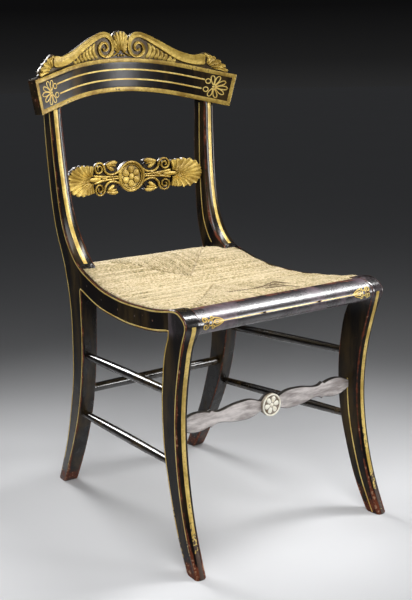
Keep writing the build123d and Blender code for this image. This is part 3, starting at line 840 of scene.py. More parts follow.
    def piece(self, name: str, finish: Finish, nodes: Sequence[str] = (), angle: float = 40.0) -> None:
        """Join the shapes on the bench into one finished piece of the chair.

        Args:
            name: The piece's name.
            finish: Its finish.
            nodes: The CAD nodes it stands for.
            angle: Edges sharper than this many degrees stay sharp.
        """
        deselect()
        for shape in self.shapes:
            shape.select_set(True)
        bpy.context.view_layer.objects.active = self.shapes[0]
        if len(self.shapes) > 1:
            bpy.ops.object.join()
        self.shapes = []
        made = bpy.context.object
        made.name = name
        made.data.name = name
        bpy.ops.object.mode_set(mode="EDIT")
        bpy.ops.mesh.select_all(action="SELECT")
        bpy.ops.mesh.normals_make_consistent(inside=False)
        bpy.ops.object.mode_set(mode="OBJECT")
        bpy.ops.object.shade_smooth_by_angle(angle=math.radians(angle))
        made.data.materials.clear()
        made.data.materials.append(finish.material())
        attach(made, "root")
        if nodes:
            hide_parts(*nodes)
        LOG.info("%s: %d faces", name, len(made.data.polygons))


BENCH = Bench()


# ---- side frames -------------------------------------------------------------
POST_BACK = (
    (229, 766), (237, 746), (239.5, 700), (239.3, 640), (235.8, 585), (231.6, 545), (222.5, 498), (217, 480),
    (203, 440), (188, 390), (180.8, 335), (181.5, 290), (185.5, 231), (194.5, 190), (206.8, 148),
    (221.5, 105), (242.5, 57), (272, 0),
)
STILE_FRONT = (
    (209, 766), (208.6, 700), (205.8, 640), (201.8, 585), (197, 545), (191.2, 517), (184.8, 498),
    (167, 467), (150.5, 449.5), (135, 438.5),
)
REAR_LEG_FRONT = (
    (135, 398), (134.4, 335), (136, 290), (145, 231), (155, 190), (169.3, 148), (188.5, 105), (213.5, 57),
    (247, 0),
)
POST_LEAN = (
    (0, 440), (-0.7, 455), (-2.4, 480), (-3.4, 498), (-4.1, 517), (-4.9, 545), (-5.9, 585), (-7.5, 640),
    (-8.8, 690), (-10.5, 766),
)
POST_INNER = (
    (27.5, 0), (28.3, 60), (28.5, 150), (28.4, 231), (28.6, 290), (29.6, 335), (31.2, 372), (32, 415),
    (31.6, 450), (29.4, 480), (27.2, 498), (24.6, 517), (21.9, 545), (19.4, 585), (16.3, 640), (14, 690),
    (11.5, 766),
)
LEG_INNER = (
    (18.5, 0), (19.6, 62), (20.5, 122), (21, 186), (21, 275), (21, 345), (21.8, 371), (24.2, 383),
    (26.2, 394), (26.5, 408), (26.5, 430),
)
RAIL_TOP = (
    (135, 438.5), (93, 425), (54, 415.5), (16, 411), (-20, 409), (-56, 409.5), (-90, 411.2), (-124, 413.7),
    (-156, 418), (-178, 422),
)
RAIL_BOTTOM = (
    (135, 398), (96, 386), (57, 377.5), (20, 374), (-17, 371.7), (-53, 371.5), (-88, 373.3), (-121, 376.2),
    (-150, 380.5), (-178, 386),
)
LEG_FRONT = (
    (-178, 422), (-202, 424.3), (-214.5, 420.8), (-225, 413.8), (-230.5, 405), (-228, 392), (-221.4, 378),
    (-212.6, 352), (-203.7, 318), (-195.8, 275), (-192.5, 230), (-194, 186), (-203.5, 122), (-220, 62),
    (-245.5, 0),
)
LEG_BACK = (
    (-216, 0), (-190.5, 50), (-174, 96), (-161.5, 141), (-151.8, 189), (-148.4, 235), (-148.9, 275),
    (-154.2, 318), (-162, 354), (-178, 386),
)
POST_HEIGHTS = (
    0, 2.5, 14, 32, 50, 68, 86, 105, 126, 148, 169, 190, 210, 231, 252, 272, 292, 314, 335, 356, 377, 397,
    399, 411, 425, 437.5, 439, 441, 444, 447.5, 451, 455, 459.5, 464, 469, 475, 482, 490, 498, 507, 517, 530,
    545, 562, 582, 605, 630, 655, 680, 700, 711,
)


@dataclass
class Span:
    """One cross-section of a sawn stick: where its front and back lie and how it is eased.

    front and back are depth along the side frame and height; crown is how far the front
    bulges; arrises are the radii at back outside, front outside, front inside, back inside.
    """

    front: Pair
    back: Pair
    crown: float
    arrises: Tuple[float, float, float, float]

    @property
    def length(self) -> float:
        """The distance from the back to the front."""
        return math.dist(self.front, self.back)


@dataclass
class Stick:
    """A stick of a side frame, sawn to its curve and eased on its arrises."""

    side: "SideFrame"
    spans: List[Span]
    outer: Callable[[float], float]
    inner: Callable[[float], float]

    def spot(self, span: Span, ahead: float, share: float) -> np.ndarray:
        """Return a place of a cross-section.

        Args:
            span: The cross-section.
            ahead: Distance from its back towards its front.
            share: 0 on the outer face, 1 on the inner one.

        Returns:
            The place.
        """
        u, z = (b + (f - b) * ahead / max(span.length, 1e-6) for f, b in zip(span.front, span.back))
        level = min(max(z, 0.0), STILE_TOP)
        inset = self.outer(level) + share * (self.inner(level) - self.outer(level))
        return self.side.place(u, z, inset)

    def width(self, span: Span) -> float:
        """Return the stick's thickness at the front of a cross-section."""
        return self.inner(span.front[1]) - self.outer(span.front[1])

    def swell(self, span: Span, q: float) -> float:
        """Return how far the front bulges at a distance from the outer face."""
        half = self.width(span) / 2
        return span.crown * (1 - ((q - half) / half) ** 2)

    def ring(self, span: Span) -> List[Tuple[np.ndarray, float]]:
        """Return the places around a cross-section, each with how worn it is."""
        length, width = span.length, self.width(span)
        bo, fo, fi, bi = (min(r, length * 0.3, width * 0.3) for r in span.arrises)
        step = min(3.5, length * 0.15)
        side = min(3.0, width * 0.12)
        nose, tail = (1.0 if radius > 0.5 else 0.0 for radius in (fo, bo))
        points = [
            (0, bo, 0.6 * tail), (0.3 * bo, 0.3 * bo, tail), (bo, 0, 0.6 * tail), (bo + step, 0, 0),
            (length / 2, 0, 0), (length - fo - step, 0, 0), (length - fo, 0, 0.6 * nose),
            (length - 0.3 * fo, 0.3 * fo, nose), (length + self.swell(span, fo), fo, 0.6 * nose),
        ]
        for q in (fo + side, width * 0.36, width * 0.5, width * 0.64, width - fi - side):
            points.append((length + self.swell(span, q), q, 0))
        points += [
            (length + self.swell(span, width - fi), width - fi, 0.6), (length - 0.3 * fi, width - 0.3 * fi, 1),
            (length - fi, width, 0.6), (length - fi - step, width, 0), (length / 2, width, 0),
            (bi + step, width, 0), (bi, width, 0.6), (0.3 * bi, width - 0.3 * bi, 1), (0, width - bi, 0.6),
            (0, width - bi - side, 0), (0, bo + side, 0),
        ]
        return [(self.spot(span, ahead, q / width), wear) for ahead, q, wear in points]

    def shape(self, trim: Optional[Callable[[int, np.ndarray], np.ndarray]] = None) -> None:
        """Shape the stick.

        Args:
            trim: Moves a place of a ring, where the stick is cut to another piece.
        """
        rings, wear, sheen = [], [], []
        for i, span in enumerate(self.spans):
            ring = self.ring(span)
            rings.append([trim(i, place) if trim else place for place, _ in ring])
            toe = 0.85 * (1 - eased(span.front[1], 10, 80))
            wear.append([worn + toe for _, worn in ring])
            # sheen mark on the front legs' tops: more coat, and a painted purple-grey sheen colour
            sheen.append([eased(span.front[1], 376, 398) if span.front[0] < -170 else 0.0])
        BENCH.loft(rings, {"wear": np.array(wear), "sheen": np.array(sheen)})

    def between(self, place: float, spot: Callable[[Span], np.ndarray]) -> np.ndarray:
        """Return the place that a function gives at a cross-section's number, which may have a fraction."""
        i = min(int(place), len(self.spans) - 2)
        first, second = (spot(span) for span in self.spans[i:i + 2])
        return first + (second - first) * (place - i)

    def on_front(self, place: float, share: float, depth: float) -> np.ndarray:
        """Return a place on the front face, from the outer arris (0) to the inner one (1), at a depth."""
        return self.between(place, lambda span: self.spot(
            span, span.length + self.swell(span, share * self.width(span)) - depth, share))

    def on_inner(self, place: float, share: float, depth: float) -> np.ndarray:
        """Return a place on the inner face, from the back (0) to the front (1), at a depth."""
        return self.between(place, lambda span: self.spot(span, span.length * share, 1 - depth / self.width(span)))


@dataclass
class SideFrame:
    """One side of the chair: stile and rear leg, front leg, and the strip between them."""

    hand: Hand
    facing: float = 5.0
    arris: float = 1.3
    post_joint: float = 135.0
    leg_joint: float = -178.0
    crown: float = 4.2
    stripe: float = 2.5
    stripe_margin: float = 3.4
    band_width: float = 7.4
    brad_drop: float = 19.0
    brads: Tuple[float, ...] = (108.0, 52.0, -8.0, -68.0, -128.0)
    block_spans: int = 27

    def __post_init__(self) -> None:
        """Name the side and lay out its two sticks."""
        self.side = self.hand.name.lower()
        self.post = self.post_stick()
        self.leg = self.leg_stick()

    def place(self, u: float, z: float, inset: float) -> np.ndarray:
        """Return the place at a depth along the frame, a height and an inset into the chair."""
        x, y = splayed(u, inset)
        return placed(self.hand.value * x, y, z)

    def lean_at(self, z: float) -> float:
        """Return how far the outer face leans in at a height."""
        return self.lean(z) if z > LEAN_START else 0.0

    def face(self, u: float, z: float, depth: float) -> np.ndarray:
        """Return the place on the outer face at a depth below it."""
        return self.place(u, z, self.lean_at(z) + depth)

    def post_stick(self) -> Stick:
        """Lay out the stile and rear leg."""
        back, stile, leg = Gauge(POST_BACK), Gauge(STILE_FRONT), Gauge(REAR_LEG_FRONT)
        self.lean = Gauge(POST_LEAN)
        spans = []
        for z in POST_HEIGHTS:
            above = z > LEAN_START
            front = leg(z) if z <= JOINT_LOW else self.post_joint if z < JOINT_HIGH else stile(z)
            crown = 3.4 * (1 - eased(z, 480, 640)) + 0.8 if above else 0.0
            arrises = (1.8, 0.12 if JOINT_LOW <= z <= JOINT_HIGH + 0.5 else 1.8, 3.6 if above else 1.8, 1.8)
            spans.append(Span((front, z), (back(z), z), crown, arrises))
        spans[0] = Span((spans[0].front[0] + 1.2, 0), (spans[0].back[0] - 1.2, 0), 0, (2.4,) * 4)
        for z in (712.2, 712.4, 722, 736, 750, 760, STILE_TOP):
            spans.append(Span((stile(z), z), (back(z), z), 0.0, (1.5, 0.4, 0.4, 1.5)))
        return Stick(self, spans, self.lean_at, Gauge(POST_INNER))

    def leg_stick(self) -> Stick:
        """Lay out the sabre leg and its corner block."""
        front, back = Gauge(LEG_FRONT[7:]), Gauge(LEG_BACK)
        spans = []
        for z in (0, 2.5, *range(14, 319, 16), 335):
            crown = 3.0 + (self.crown - 3.0) * eased(z, 0, 120)
            spans.append(Span((front(z), z), (back(z), z), crown, (1.8,) * 4))
        spans[0] = Span((spans[0].front[0] + 1.6, 0), (spans[0].back[0] - 1.2, 0), 2.4, (3.0,) * 4)
        nose = Smooth(LEG_FRONT[::-1]).run(900)
        nose = nose[next(i for i, p in enumerate(nose) if p[1] >= 352):]
        joint = [(back(352), 352), (back(365), 365), (-176.0, 382), (self.leg_joint, 387)]
        joint += [(self.leg_joint, z) for z in (395, 404, 413, 421.9)]
        for share in np.arange(self.block_spans) / (self.block_spans - 1):
            tail = tuple(np.interp(share, np.linspace(0, 1, len(joint)), axis) for axis in zip(*joint))
            crown = self.crown * (1 - eased(share, 0.12, 0.5))
            outer = 1.8 if share < 0.22 else 0.12
            spans.append(Span(tuple(nose[round((len(nose) - 1) * share)]), tail, crown, (outer, 1.8, 1.8, 1.2)))
        return Stick(self, spans, lambda z: 0.0, Gauge(LEG_INNER))

    def cut_to_crest(self, index: int, spot: np.ndarray) -> np.ndarray:
        """Cut the top of the stile to the back of the crest.

        Args:
            index: The cross-section's number.
            spot: A place of it.

        Returns:
            The place on the cut stile.
        """
        first = len(POST_HEIGHTS)
        if index < first:
            return spot
        x, y, z = spot[0] / MILLIMETRE, spot[1] / MILLIMETRE - DATUM_SHIFT, spot[2] / MILLIMETRE
        if index <= first + 1:
            z = CREST.low_edge(abs(x)) + 0.15
        if index > first:
            y = max(y, CREST.plan(abs(x), CREST.thick - 0.2))
        return placed(x, y, z)

    def build_post(self) -> None:
        """Build the stile and rear leg with their stripes."""
        self.post.shape(self.cut_to_crest)
        BENCH.piece(f"stile_and_rear_leg_{self.side}", BLACK_STILE, [f"rear_post_{self.side}"])
        low = next(i for i, z in enumerate(POST_HEIGHTS) if z >= 444)
        places = [*range(low, len(POST_HEIGHTS)), len(POST_HEIGHTS) - 0.04]
        self.paint("stile_band", self.post, places, 0.47, [0.0] * len(places))
        self.paint("stile_inner_line", self.post, places, 0.5)

    def build_leg(self) -> None:
        """Build the front leg with its stripes."""
        self.leg.shape()
        BENCH.piece(f"sabre_leg_{self.side}", BLACK, [f"front_leg_{self.side}"])
        places = [0.55, *range(1, len(self.leg.spans) - 14)]
        self.paint("leg_band", self.leg, places, 0.535, np.interp(places, (0.5, 5, 9, 14), (1, 0.45, 0.15, 0)))
        self.paint("leg_inner_line", self.leg, [p for p in places if p < 17], 0.5)

    def paint(
        self, name: str, stick: Stick, places: Sequence[float], middle: float, fade: Optional[Sequence[float]] = None
    ) -> None:
        """Paint the gold band down the front of a stick, or the fine line down its inner face.

        Args:
            name: The stripe's name.
            stick: The stick.
            places: The cross-sections it runs over.
            middle: Where its middle lies across the face.
            fade: How worn the band is at each cross-section; the fine line has none.
        """
        face, across, width, rise, finish = stick.on_front, stick.width, self.band_width, 0.22, GILT_BAND
        if fade is None:
            face, across, width, rise, finish = stick.on_inner, lambda span: span.length, self.stripe, 0.2, GILT_LINE
        halves = [width / 2 / across(stick.spans[min(round(p), len(stick.spans) - 1)]) for p in places]
        edges = [[(p, middle + way * half) for p, half in zip(places, halves)] for way in (-1, 1)]
        BENCH.band(face, *edges, Section.FLAT, rise, fade=fade)
        BENCH.piece(f"{name}_{self.side}", finish)

    def build_facing(self) -> None:
        """Build the strip over the side of the rush, and its brads."""
        top, bottom = Gauge(RAIL_TOP, True), Gauge(RAIL_BOTTOM, True)
        rings = []
        r, wide = self.arris, self.facing
        for u in np.linspace(self.post_joint, self.leg_joint, 64):
            high, low = top(u), bottom(u)
            mid = (high + low) / 2
            ring = [
                (low + r, 0, 0.6), (low + 5, 0, 0), (mid, 0, 0), (high - 5, 0, 0), (high - r, 0, 0.6),
                (high - 0.3 * r, 0.3 * r, 1), (high, r, 0.7), (high, 3.5, 0.5), (high - 0.4, wide - 0.4, 0.4),
                (high - 1.2, wide, 0), (mid, wide, 0), (low + 1.2, wide, 0), (low + 0.4, wide - 0.4, 0.4),
                (low, 3.5, 0.4), (low, r, 0.7), (low + 0.3 * r, 0.3 * r, 1),
            ]
            rings.append([(self.place(u, z, inset), worn) for z, inset, worn in ring])
        BENCH.marked(rings)
        BENCH.piece(f"side_strip_{self.side}", BLACK, [f"side_facing_{self.side}"])
        head = [(0.9, 1.5, 1), (0.9, 0.2, 1), (1.7, 0.05, 1), (1.7, -0.2, 1), (1.2, -0.42, 1), (0.3, -0.5, 1)]
        for u in self.brads:
            BENCH.disc(self.place, head, 10, (u, top(u) - self.brad_drop), "wear")
        BENCH.piece(f"strip_brads_{self.side}", IRON, [f"facing_brads_{self.side}"])

    def build_stripes(self) -> None:
        """Paint the fine lines that run round the outer faces."""
        margin = self.stripe_margin
        back_line = offset(Smooth(POST_BACK[1:]).run(70), -margin)
        upper = Smooth(STILE_FRONT).run(40)[1:-1] + Smooth(RAIL_TOP).run(36)[1:-1] + Smooth(LEG_FRONT).run(70)[1:]
        rear, under, leg = (
            offset(Smooth(line).run(count), -margin)
            for line, count in ((REAR_LEG_FRONT[::-1], 44), (RAIL_BOTTOM, 36), (LEG_BACK[::-1], 44))
        )
        lower = [p for p in rear if p[1] < JOINT_LOW - 6]
        lower += [np.array((self.post_joint + margin, JOINT_LOW + margin * 0.9)), *under[1:-1]]
        lower += [np.array((self.leg_joint + 1.0, LEG_JOINT_LOW + margin))]
        lower += [p for p in leg[1:] if p[1] < LEG_JOINT_LOW - 4]
        for path, count in ((back_line, 90), (offset(upper, margin), 170), (lower, 150)):
            points = np.array([p for p in path if p[1] > 6.0])
            reach = np.concatenate([[0], np.cumsum(np.linalg.norm(np.diff(points, axis=0), axis=1))])
            even = np.linspace(0, reach[-1], count)
            points = np.stack([np.interp(even, reach, points[:, k]) for k in (0, 1)], axis=1)
            left, right = (offset(points, way * self.stripe / 2) for way in (1, -1))
            fade = [0.7 * (1 - eased(p[1], 20, 130)) for p in points]
            BENCH.band(self.face, left, right, Section.FLAT, 0.2, fade=fade)
        BENCH.piece(f"side_lines_{self.side}", GILT_LINE)

    def build(self) -> None:
        """Build every piece of this side."""
        self.build_post()
        self.build_leg()
        self.build_facing()
        self.build_stripes()


# ---- crest -------------------------------------------------------------------
PALMETTE_TOP = ((0, 850), (8, 849), (14, 845), (17.5, 838))
SCROLL_TOP = (
    (17.5, 838), (25, 844.5), (38, 847), (51, 844.3), (65, 838.6), (81, 830.8), (101, 819.8), (118, 811.5),
    (132, 806.5), (146, 803.5), (157, 804.5),
)
LEAF_TOP = ((157, 804.5), (167, 808.5), (180, 800), (193, 790), (204, 780), (208, 770), (206, 762))
SCROLL_OUTER = (
    (167.5, 801), (159, 804.6), (146, 803.5), (132, 806.5), (118, 811.5), (101, 819.8), (81, 830.8), (65, 838.6),
    (51, 844.3), (38, 847), (25, 844), (17.2, 834), (14.6, 819), (18, 806.6), (28, 799.8), (40, 800), (49.6, 806.6),
    (51.6, 817.6), (46, 826.6), (37, 829.4), (30, 826.2), (27.6, 819.6), (29.6, 813.6), (35, 810.8), (40.4, 812.8),
    (41.6, 818),
)
SCROLL_INNER = (
    (166, 784), (156, 783), (142, 784.5), (125, 789), (110, 796), (95, 805.6), (76, 818), (61, 826.8),
    (48.5, 833.2), (37.5, 836), (29.5, 834), (23.6, 827.8), (21.2, 818.6), (23.8, 810.4), (30.6, 805.4),
    (38.2, 805.4), (44.2, 810), (45.8, 817), (42.2, 822.8), (36.8, 824.6), (32.8, 822), (31.4, 818.4),
    (32.8, 815.4), (35.6, 814.4), (37.6, 815.6), (37.6, 818),
)
FLOWER = ((-4, 15), (5.5, 16), (15, 10.5), (19.5, 1.5), (15.5, -8), (6, -14.5), (-4, -14))
FLOWER_RINGS = ((-11.5, 8.5), (-12.5, -7.5))
LEAVES = (    # three points and a width
    ((169, 783), (177, 794), (183.5, 796.8), 9.0), ((171.5, 781), (182, 788), (193.6, 787.6), 9.8),
    ((174.5, 779), (188, 782), (201.2, 778.8), 9.6), ((178, 776.4), (192, 775.4), (205, 770.2), 7.0),
    ((168.5, 786), (172.6, 796), (174.4, 801.6), 7.0),
)
PETALS = (    # three points, a width and a rise
    ((0, 812), (0, 828), (0, 848.8), 7.6, 3.8), ((1.4, 811), (4.6, 828), (8.2, 847.4), 6.8, 3.2),
    ((2.4, 811), (8.4, 827), (14.2, 842.2), 6.2, 3.6), ((2.8, 810.5), (9, 820), (15.6, 832.5), 5.6, 3.0),
    ((3.0, 809.5), (8.6, 814.5), (14.6, 822.5), 5.0, 3.2), ((2.6, 808.2), (7.6, 811), (13.4, 814.8), 4.2, 2.8),
)


@dataclass
class Crest:
    """The arched and hollowed crest board with its carved cresting."""

    front_y: float = 250.0
    radius: float = 345.0
    turn: float = 25.8
    thick: float = 16.0
    height: float = 62.0
    foot_z: float = 737.5
    arch_radius: float = 536.0
    arch_turn: float = 13.5
    end_x: float = 205.5
    arris: float = 1.2
    flower_along: float = 46.0      # from the arch's knee to the flower's middle

    @property
    def bent(self) -> float:
        """Half the length of the arch's foot up to its knee."""
        return self.arch_radius * math.radians(self.arch_turn)

    def plan(self, x: float, depth: float) -> float:
        """Return Y at a distance from the middle and a depth behind the front."""
        turn = math.radians(self.turn)
        radius = self.radius + depth
        knee = radius * math.sin(turn)
        middle = self.front_y - self.radius
        if x <= knee:
            return middle + math.sqrt(radius ** 2 - x ** 2)
        return middle + radius * math.cos(turn) - (x - knee) * math.tan(turn)

    def knee(self, rise: float) -> Pair:
        """Return where the arch runs on straight, at a height above its foot."""
        turn = math.radians(self.arch_turn)
        radius = self.arch_radius + rise
        return radius * math.sin(turn), self.foot_z - self.arch_radius + radius * math.cos(turn)

    def low_edge(self, x: float, rise: float = 0.0) -> float:
        """Return the height of the arch at a distance from the middle."""
        knee = self.knee(rise)
        if x <= knee[0]:
            radius = self.arch_radius + rise
            return self.foot_z - self.arch_radius + math.sqrt(radius ** 2 - x ** 2)
        return knee[1] - (x - knee[0]) * math.tan(math.radians(self.arch_turn))

    def reach(self) -> float:
        """Return half the length of the arch, measured along its foot."""
        return self.bent + (self.end_x - self.knee(0)[0]) / math.cos(math.radians(self.arch_turn))

    def board(self, along: float, rise: float, depth: float) -> np.ndarray:
        """Return a place of the board.

        Args:
            along: Distance from the middle along the arch's foot, positive to the right.
            rise: Height above the foot, square to the arch.
            depth: Depth behind the front.

        Returns:
            The place.
        """
        turn = math.radians(self.arch_turn)
        side = 1 if along >= 0 else -1
        angle = min(abs(along) / self.arch_radius, turn)
        radius = self.arch_radius + rise
        past = max(abs(along) - self.bent, 0.0)
        x = radius * math.sin(angle) + past * math.cos(turn)
        z = self.foot_z - self.arch_radius + radius * math.cos(angle) - past * math.sin(turn)
        lean = math.asin(min(x / self.radius, math.sin(math.radians(self.turn))))
        return placed(side * (x + depth * math.sin(lean)), self.plan(x, 0) + depth * math.cos(lean), z)

    def front(self, x: float, z: float, depth: float) -> np.ndarray:
        """Return a place of the cresting at X, a height and a depth behind the board's front."""
        return placed(x, self.plan(abs(x), depth), z)

    def build_tablet(self) -> None:
        """Build the crest board."""
        reach, r = self.reach(), self.arris
        rings = []
        for along in (-reach, -reach + r, *np.linspace(-reach + 4, reach - 4, 75), reach - r, reach):
            ease = r if abs(along) == reach else 0.0
            low, high, near, far = ease, self.height - ease, ease, self.thick - ease
            ring = [
                (low + r, near, 0.6), (low + 12, near, 0), (31, near, 0), (high - 12, near, 0), (high - r, near, 0.6),
                (high - 0.3 * r, near + 0.3 * r, 1), (high, near + r, 0.6), (high, 8, 0), (high, far - r, 0.6),
                (high - 0.3 * r, far - 0.3 * r, 1), (high - r, far, 0.6), (high - 12, far, 0), (low + 12, far, 0),
                (low + r, far, 0.6), (low + 0.3 * r, far - 0.3 * r, 1), (low, far - r, 0.6), (low, 8, 0),
                (low, near + r, 0.6), (low + 0.3 * r, near + 0.3 * r, 1),
            ]
            worn_end = 0.8 if ease else 0.0
            rings.append([(self.board(along, rise, depth), max(worn, worn_end)) for rise, depth, worn in ring])
        BENCH.marked(rings)
        BENCH.piece("crest_board", BLACK_CREST, ["crest_tablet"])

    def stripe(self, reach: float, count: int, low: float, high: float) -> None:
        """Paint a stripe along the board between two heights, as far as a reach on both sides."""
        edges = [[(along, rise) for along in np.linspace(-reach, reach, count)] for rise in (low, high)]
        BENCH.band(self.board, *edges, Section.FLAT, 0.25)

    def build_borders(self) -> None:
        """Paint the gold borders, the fine lines and the flowers at their ends."""
        reach = self.reach()
        for low, high in ((0.7, 8.6), (54.2, 61.4)):
            self.stripe(reach - 0.8, 75, low, high)
        for side in (-1, 1):
            edges = [[(side * (reach - inset), rise) for rise in (0.9, 20, 40, 61.2)] for inset in (0.8, 7.2)]
            BENCH.band(self.board, *edges, Section.FLAT, 0.3)
        BENCH.piece("crest_borders", GILT_BORDER)
        heart = (self.bent + self.flower_along, 30.5)
        for rise, short in ((23.0, 20.5), (40.8, 18.0)):
            self.stripe(heart[0] - short, 65, rise - 1.4, rise + 1.4)
        BENCH.piece("crest_lines", GILT_LINE)
        for side in (-1, 1):
            for de, dr in FLOWER:
                size = math.hypot(de, dr)
                way = (de / size, dr / size)
                loop = []
                for t in round_turns(18, True):
                    opened = 0.5 - 0.5 * math.cos(t)
                    ahead = 3.2 + (size + 2.2) * opened
                    wide = 4.6 * math.sin(t) * opened ** 0.55
                    loop.append((heart[0] + way[0] * ahead - way[1] * wide, heart[1] + way[1] * ahead + way[0] * wide))
                BENCH.rib(self.board, loop, [1.9], 26, 0.35, side=side)
            for de, dr in FLOWER_RINGS:
                ring = [(heart[0] + de + 4.4 * math.cos(t), heart[1] + dr + 4.4 * math.sin(t))
                        for t in round_turns(14, True)]
                BENCH.rib(self.board, ring, [1.9], 24, 0.35, side=side)
            bead = [(heart[0] + along, heart[1]) for along in (-2.6, 0, 2.6)]
            BENCH.rib(self.board, bead, [3.0, 5.0, 3.0], 9, 0.4, ends=(0.5, 0.5), side=side)
        BENCH.piece("crest_flowers", GILT_LINE)

    def build_pediment(self) -> None:
        """Build the carved cresting."""
        outline = [*Smooth(PALMETTE_TOP).run(30), *Smooth(SCROLL_TOP).run(120), *Smooth(LEAF_TOP[:-1]).run(60)]
        tops = np.array(sorted((float(p[0]), float(p[1])) for p in outline))
        rings = []
        for x in both_ways((0, 5, 10, 14, 16.5, 17.5, 19, 22, 26, 32, 38, 45, 52, *range(60, 131, 10), 138, 146, 152,
                            157, 161, 165, 169, 174, 180, 186, 192, 197, 201, 204.5)):
            high = float(np.interp(abs(x), tops[:, 0], tops[:, 1])) - 1.6
            low = self.low_edge(abs(x), self.height) - 0.4
            mid = (low + high) / 2
            ring = ((low, 5.2), (mid, 5.2), (high - 1, 5.2), (high, 6.4), (high, 12.2), (high - 0.8, 13), (mid, 13),
                    (low, 13))
            # relief 0.25 lays painted shade over the whole ground between the carvings
            rings.append([(self.front(x, z, depth), 0.25) for z, depth in ring])
        BENCH.marked(rings, "relief")
        BENCH.piece("cresting_ground", GILT_CARVING, ["crest_pediment"])
        for side in (-1, 1):
            self.carve_scroll(side)
            self.carve_leaves(side)
        self.carve_middle()
        BENCH.piece("cresting_carving", GILT_CARVING)

    def carve_scroll(self, side: int) -> None:
        """Carve the long scroll of one side and the bulb at its end.

        Args:
            side: 1 for the right, -1 for the left.
        """
        places = (len(SCROLL_OUTER) - 1) * np.arange(118) / 117
        edges = []
        for line in (Smooth(SCROLL_OUTER), Smooth(SCROLL_INNER)):
            edges.append([(side * x, z) for x, z in (line.at_point(p) for p in places)])
        bulb = ((168, 784.5), (171.5, 793), (168.5, 801), (162.5, 804.2))
        BENCH.band(self.front, *edges, Section.FLUTE, 3.6, 5.0, 12.8, (0.02, 0.05))
        BENCH.rib(self.front, bulb, [2.6, 4.4, 5.0, 3.8], 14, 3.4, 5.0, 12.8, (0.3, 0.3), side=side)

    def carve_leaves(self, side: int) -> None:
        """Carve the flutes under the scroll and the leaf at its end.

        Args:
            side: 1 for the right, -1 for the left.
        """
        groove = Gauge(SCROLL_INNER[1:9], True)
        for x in 54.5 + 8.4 * np.arange(9):
            high = groove(x + 5) - 0.6
            low = self.low_edge(x, self.height) + 0.8
            tall = high - low
            if tall < 3:
                continue
            bulge = 2.2 + 0.12 * tall
            line = ((x + 2, high), (x + bulge + 2, high - 0.3 * tall), (x + bulge + 1, low + 0.35 * tall),
                    (x - 2.5, low))
            BENCH.rib(self.front, line, [5, 7.6, 8.4, 6.6], 10, 2.8, 5.6, 9, (0.3, 0.3), side=side)
        for *line, width in LEAVES:
            widths = width * np.array((0.3, 0.65, 1, 0.95))
            BENCH.rib(self.front, line, widths, 14, 3.8, 5.6, 12.4, (0.2, 0.16), Section.FLUTE, side)
            (x, z), (tip_x, tip_z) = line[1:]
            curl = [(tip_x + (x - tip_x) * t, tip_z + (z - tip_z) * t) for t in (0.5, 0.25, 0)]
            widths = width * np.array((0.62, 0.74, 0.62))
            BENCH.rib(self.front, curl, widths, 9, 5.0, 5.2, 12.4, (0.5, 0.5), side=side)

    def carve_middle(self) -> None:
        """Carve the small palmette between the scrolls."""
        for *line, width, rise in PETALS:
            widths = width * np.array((0.35, 0.7, 1, 0.85))
            for side in ((1,) if line[2][0] == 0 else (-1, 1)):
                BENCH.rib(self.front, line, widths, 13, rise, 5.2, 12.6, (0.2, 0.18), side=side)
        stalk = ((21, 801.6), (13, 805.6), (6, 810.6), (1.2, 817))
        bead = ((6.2, 801.4), (6.2, 803.9), (6.2, 806.4))
        for side in (-1, 1):
            BENCH.rib(self.front, stalk, [3.4, 3.2, 2.6], 10, 4.0, 5.0, 9, (0.12, 0.12), side=side)
            BENCH.rib(self.front, bead, [4.6, 5.4, 4.6], 9, 3.2, 5.0, 9, (0.5, 0.5), side=side)
        bead = ((0, 801.2), (0, 804), (0, 806.8))
        BENCH.rib(self.front, bead, [4.8, 5.6, 4.8], 9, 3.6, 5.0, 9, (0.5, 0.5))

    def build(self) -> None:
        """Build the board, its painting and the cresting."""
        self.build_tablet()
        self.build_borders()
        self.build_pediment()


CREST = Crest()


# ---- splat -------------------------------------------------------------------
BUD = (    # a line, its widths and its rise
    (((58.5, 25.2), (50, 26.6), (40, 28.0), (28.5, 27.6)), [3.2, 6.4, 9.2, 9.0, 4.5], 5.0),
    (((55, 23.5), (49.5, 20.6), (44, 17.4), (37.5, 13.6)), [3.2, 6.6, 8.6, 7.6, 4.0], 4.4),
    (((53, 25), (45, 23.6), (38, 22.4), (32, 21.6)), [2.4, 3.4, 3.6, 2.6], 5.4),
)
LOBES = (    # three points and a width
    ((96, 0), (122, 0), (151.4, 0), 9.5), ((97, 1.6), (125, 4.6), (149.2, 11.2), 10.8),
    ((96.5, 2.6), (121, 9.2), (141.8, 20.4), 11.6), ((95.5, 3.6), (115, 12.2), (130.2, 26.2), 11.8),
    ((94.5, 4.4), (108, 14.2), (117.2, 28.2), 11.8), ((93, 5.0), (101, 15.2), (104.4, 27.8), 11.6),
    ((91, 5.4), (92.6, 15.6), (91.6, 26.4), 10.6),
)


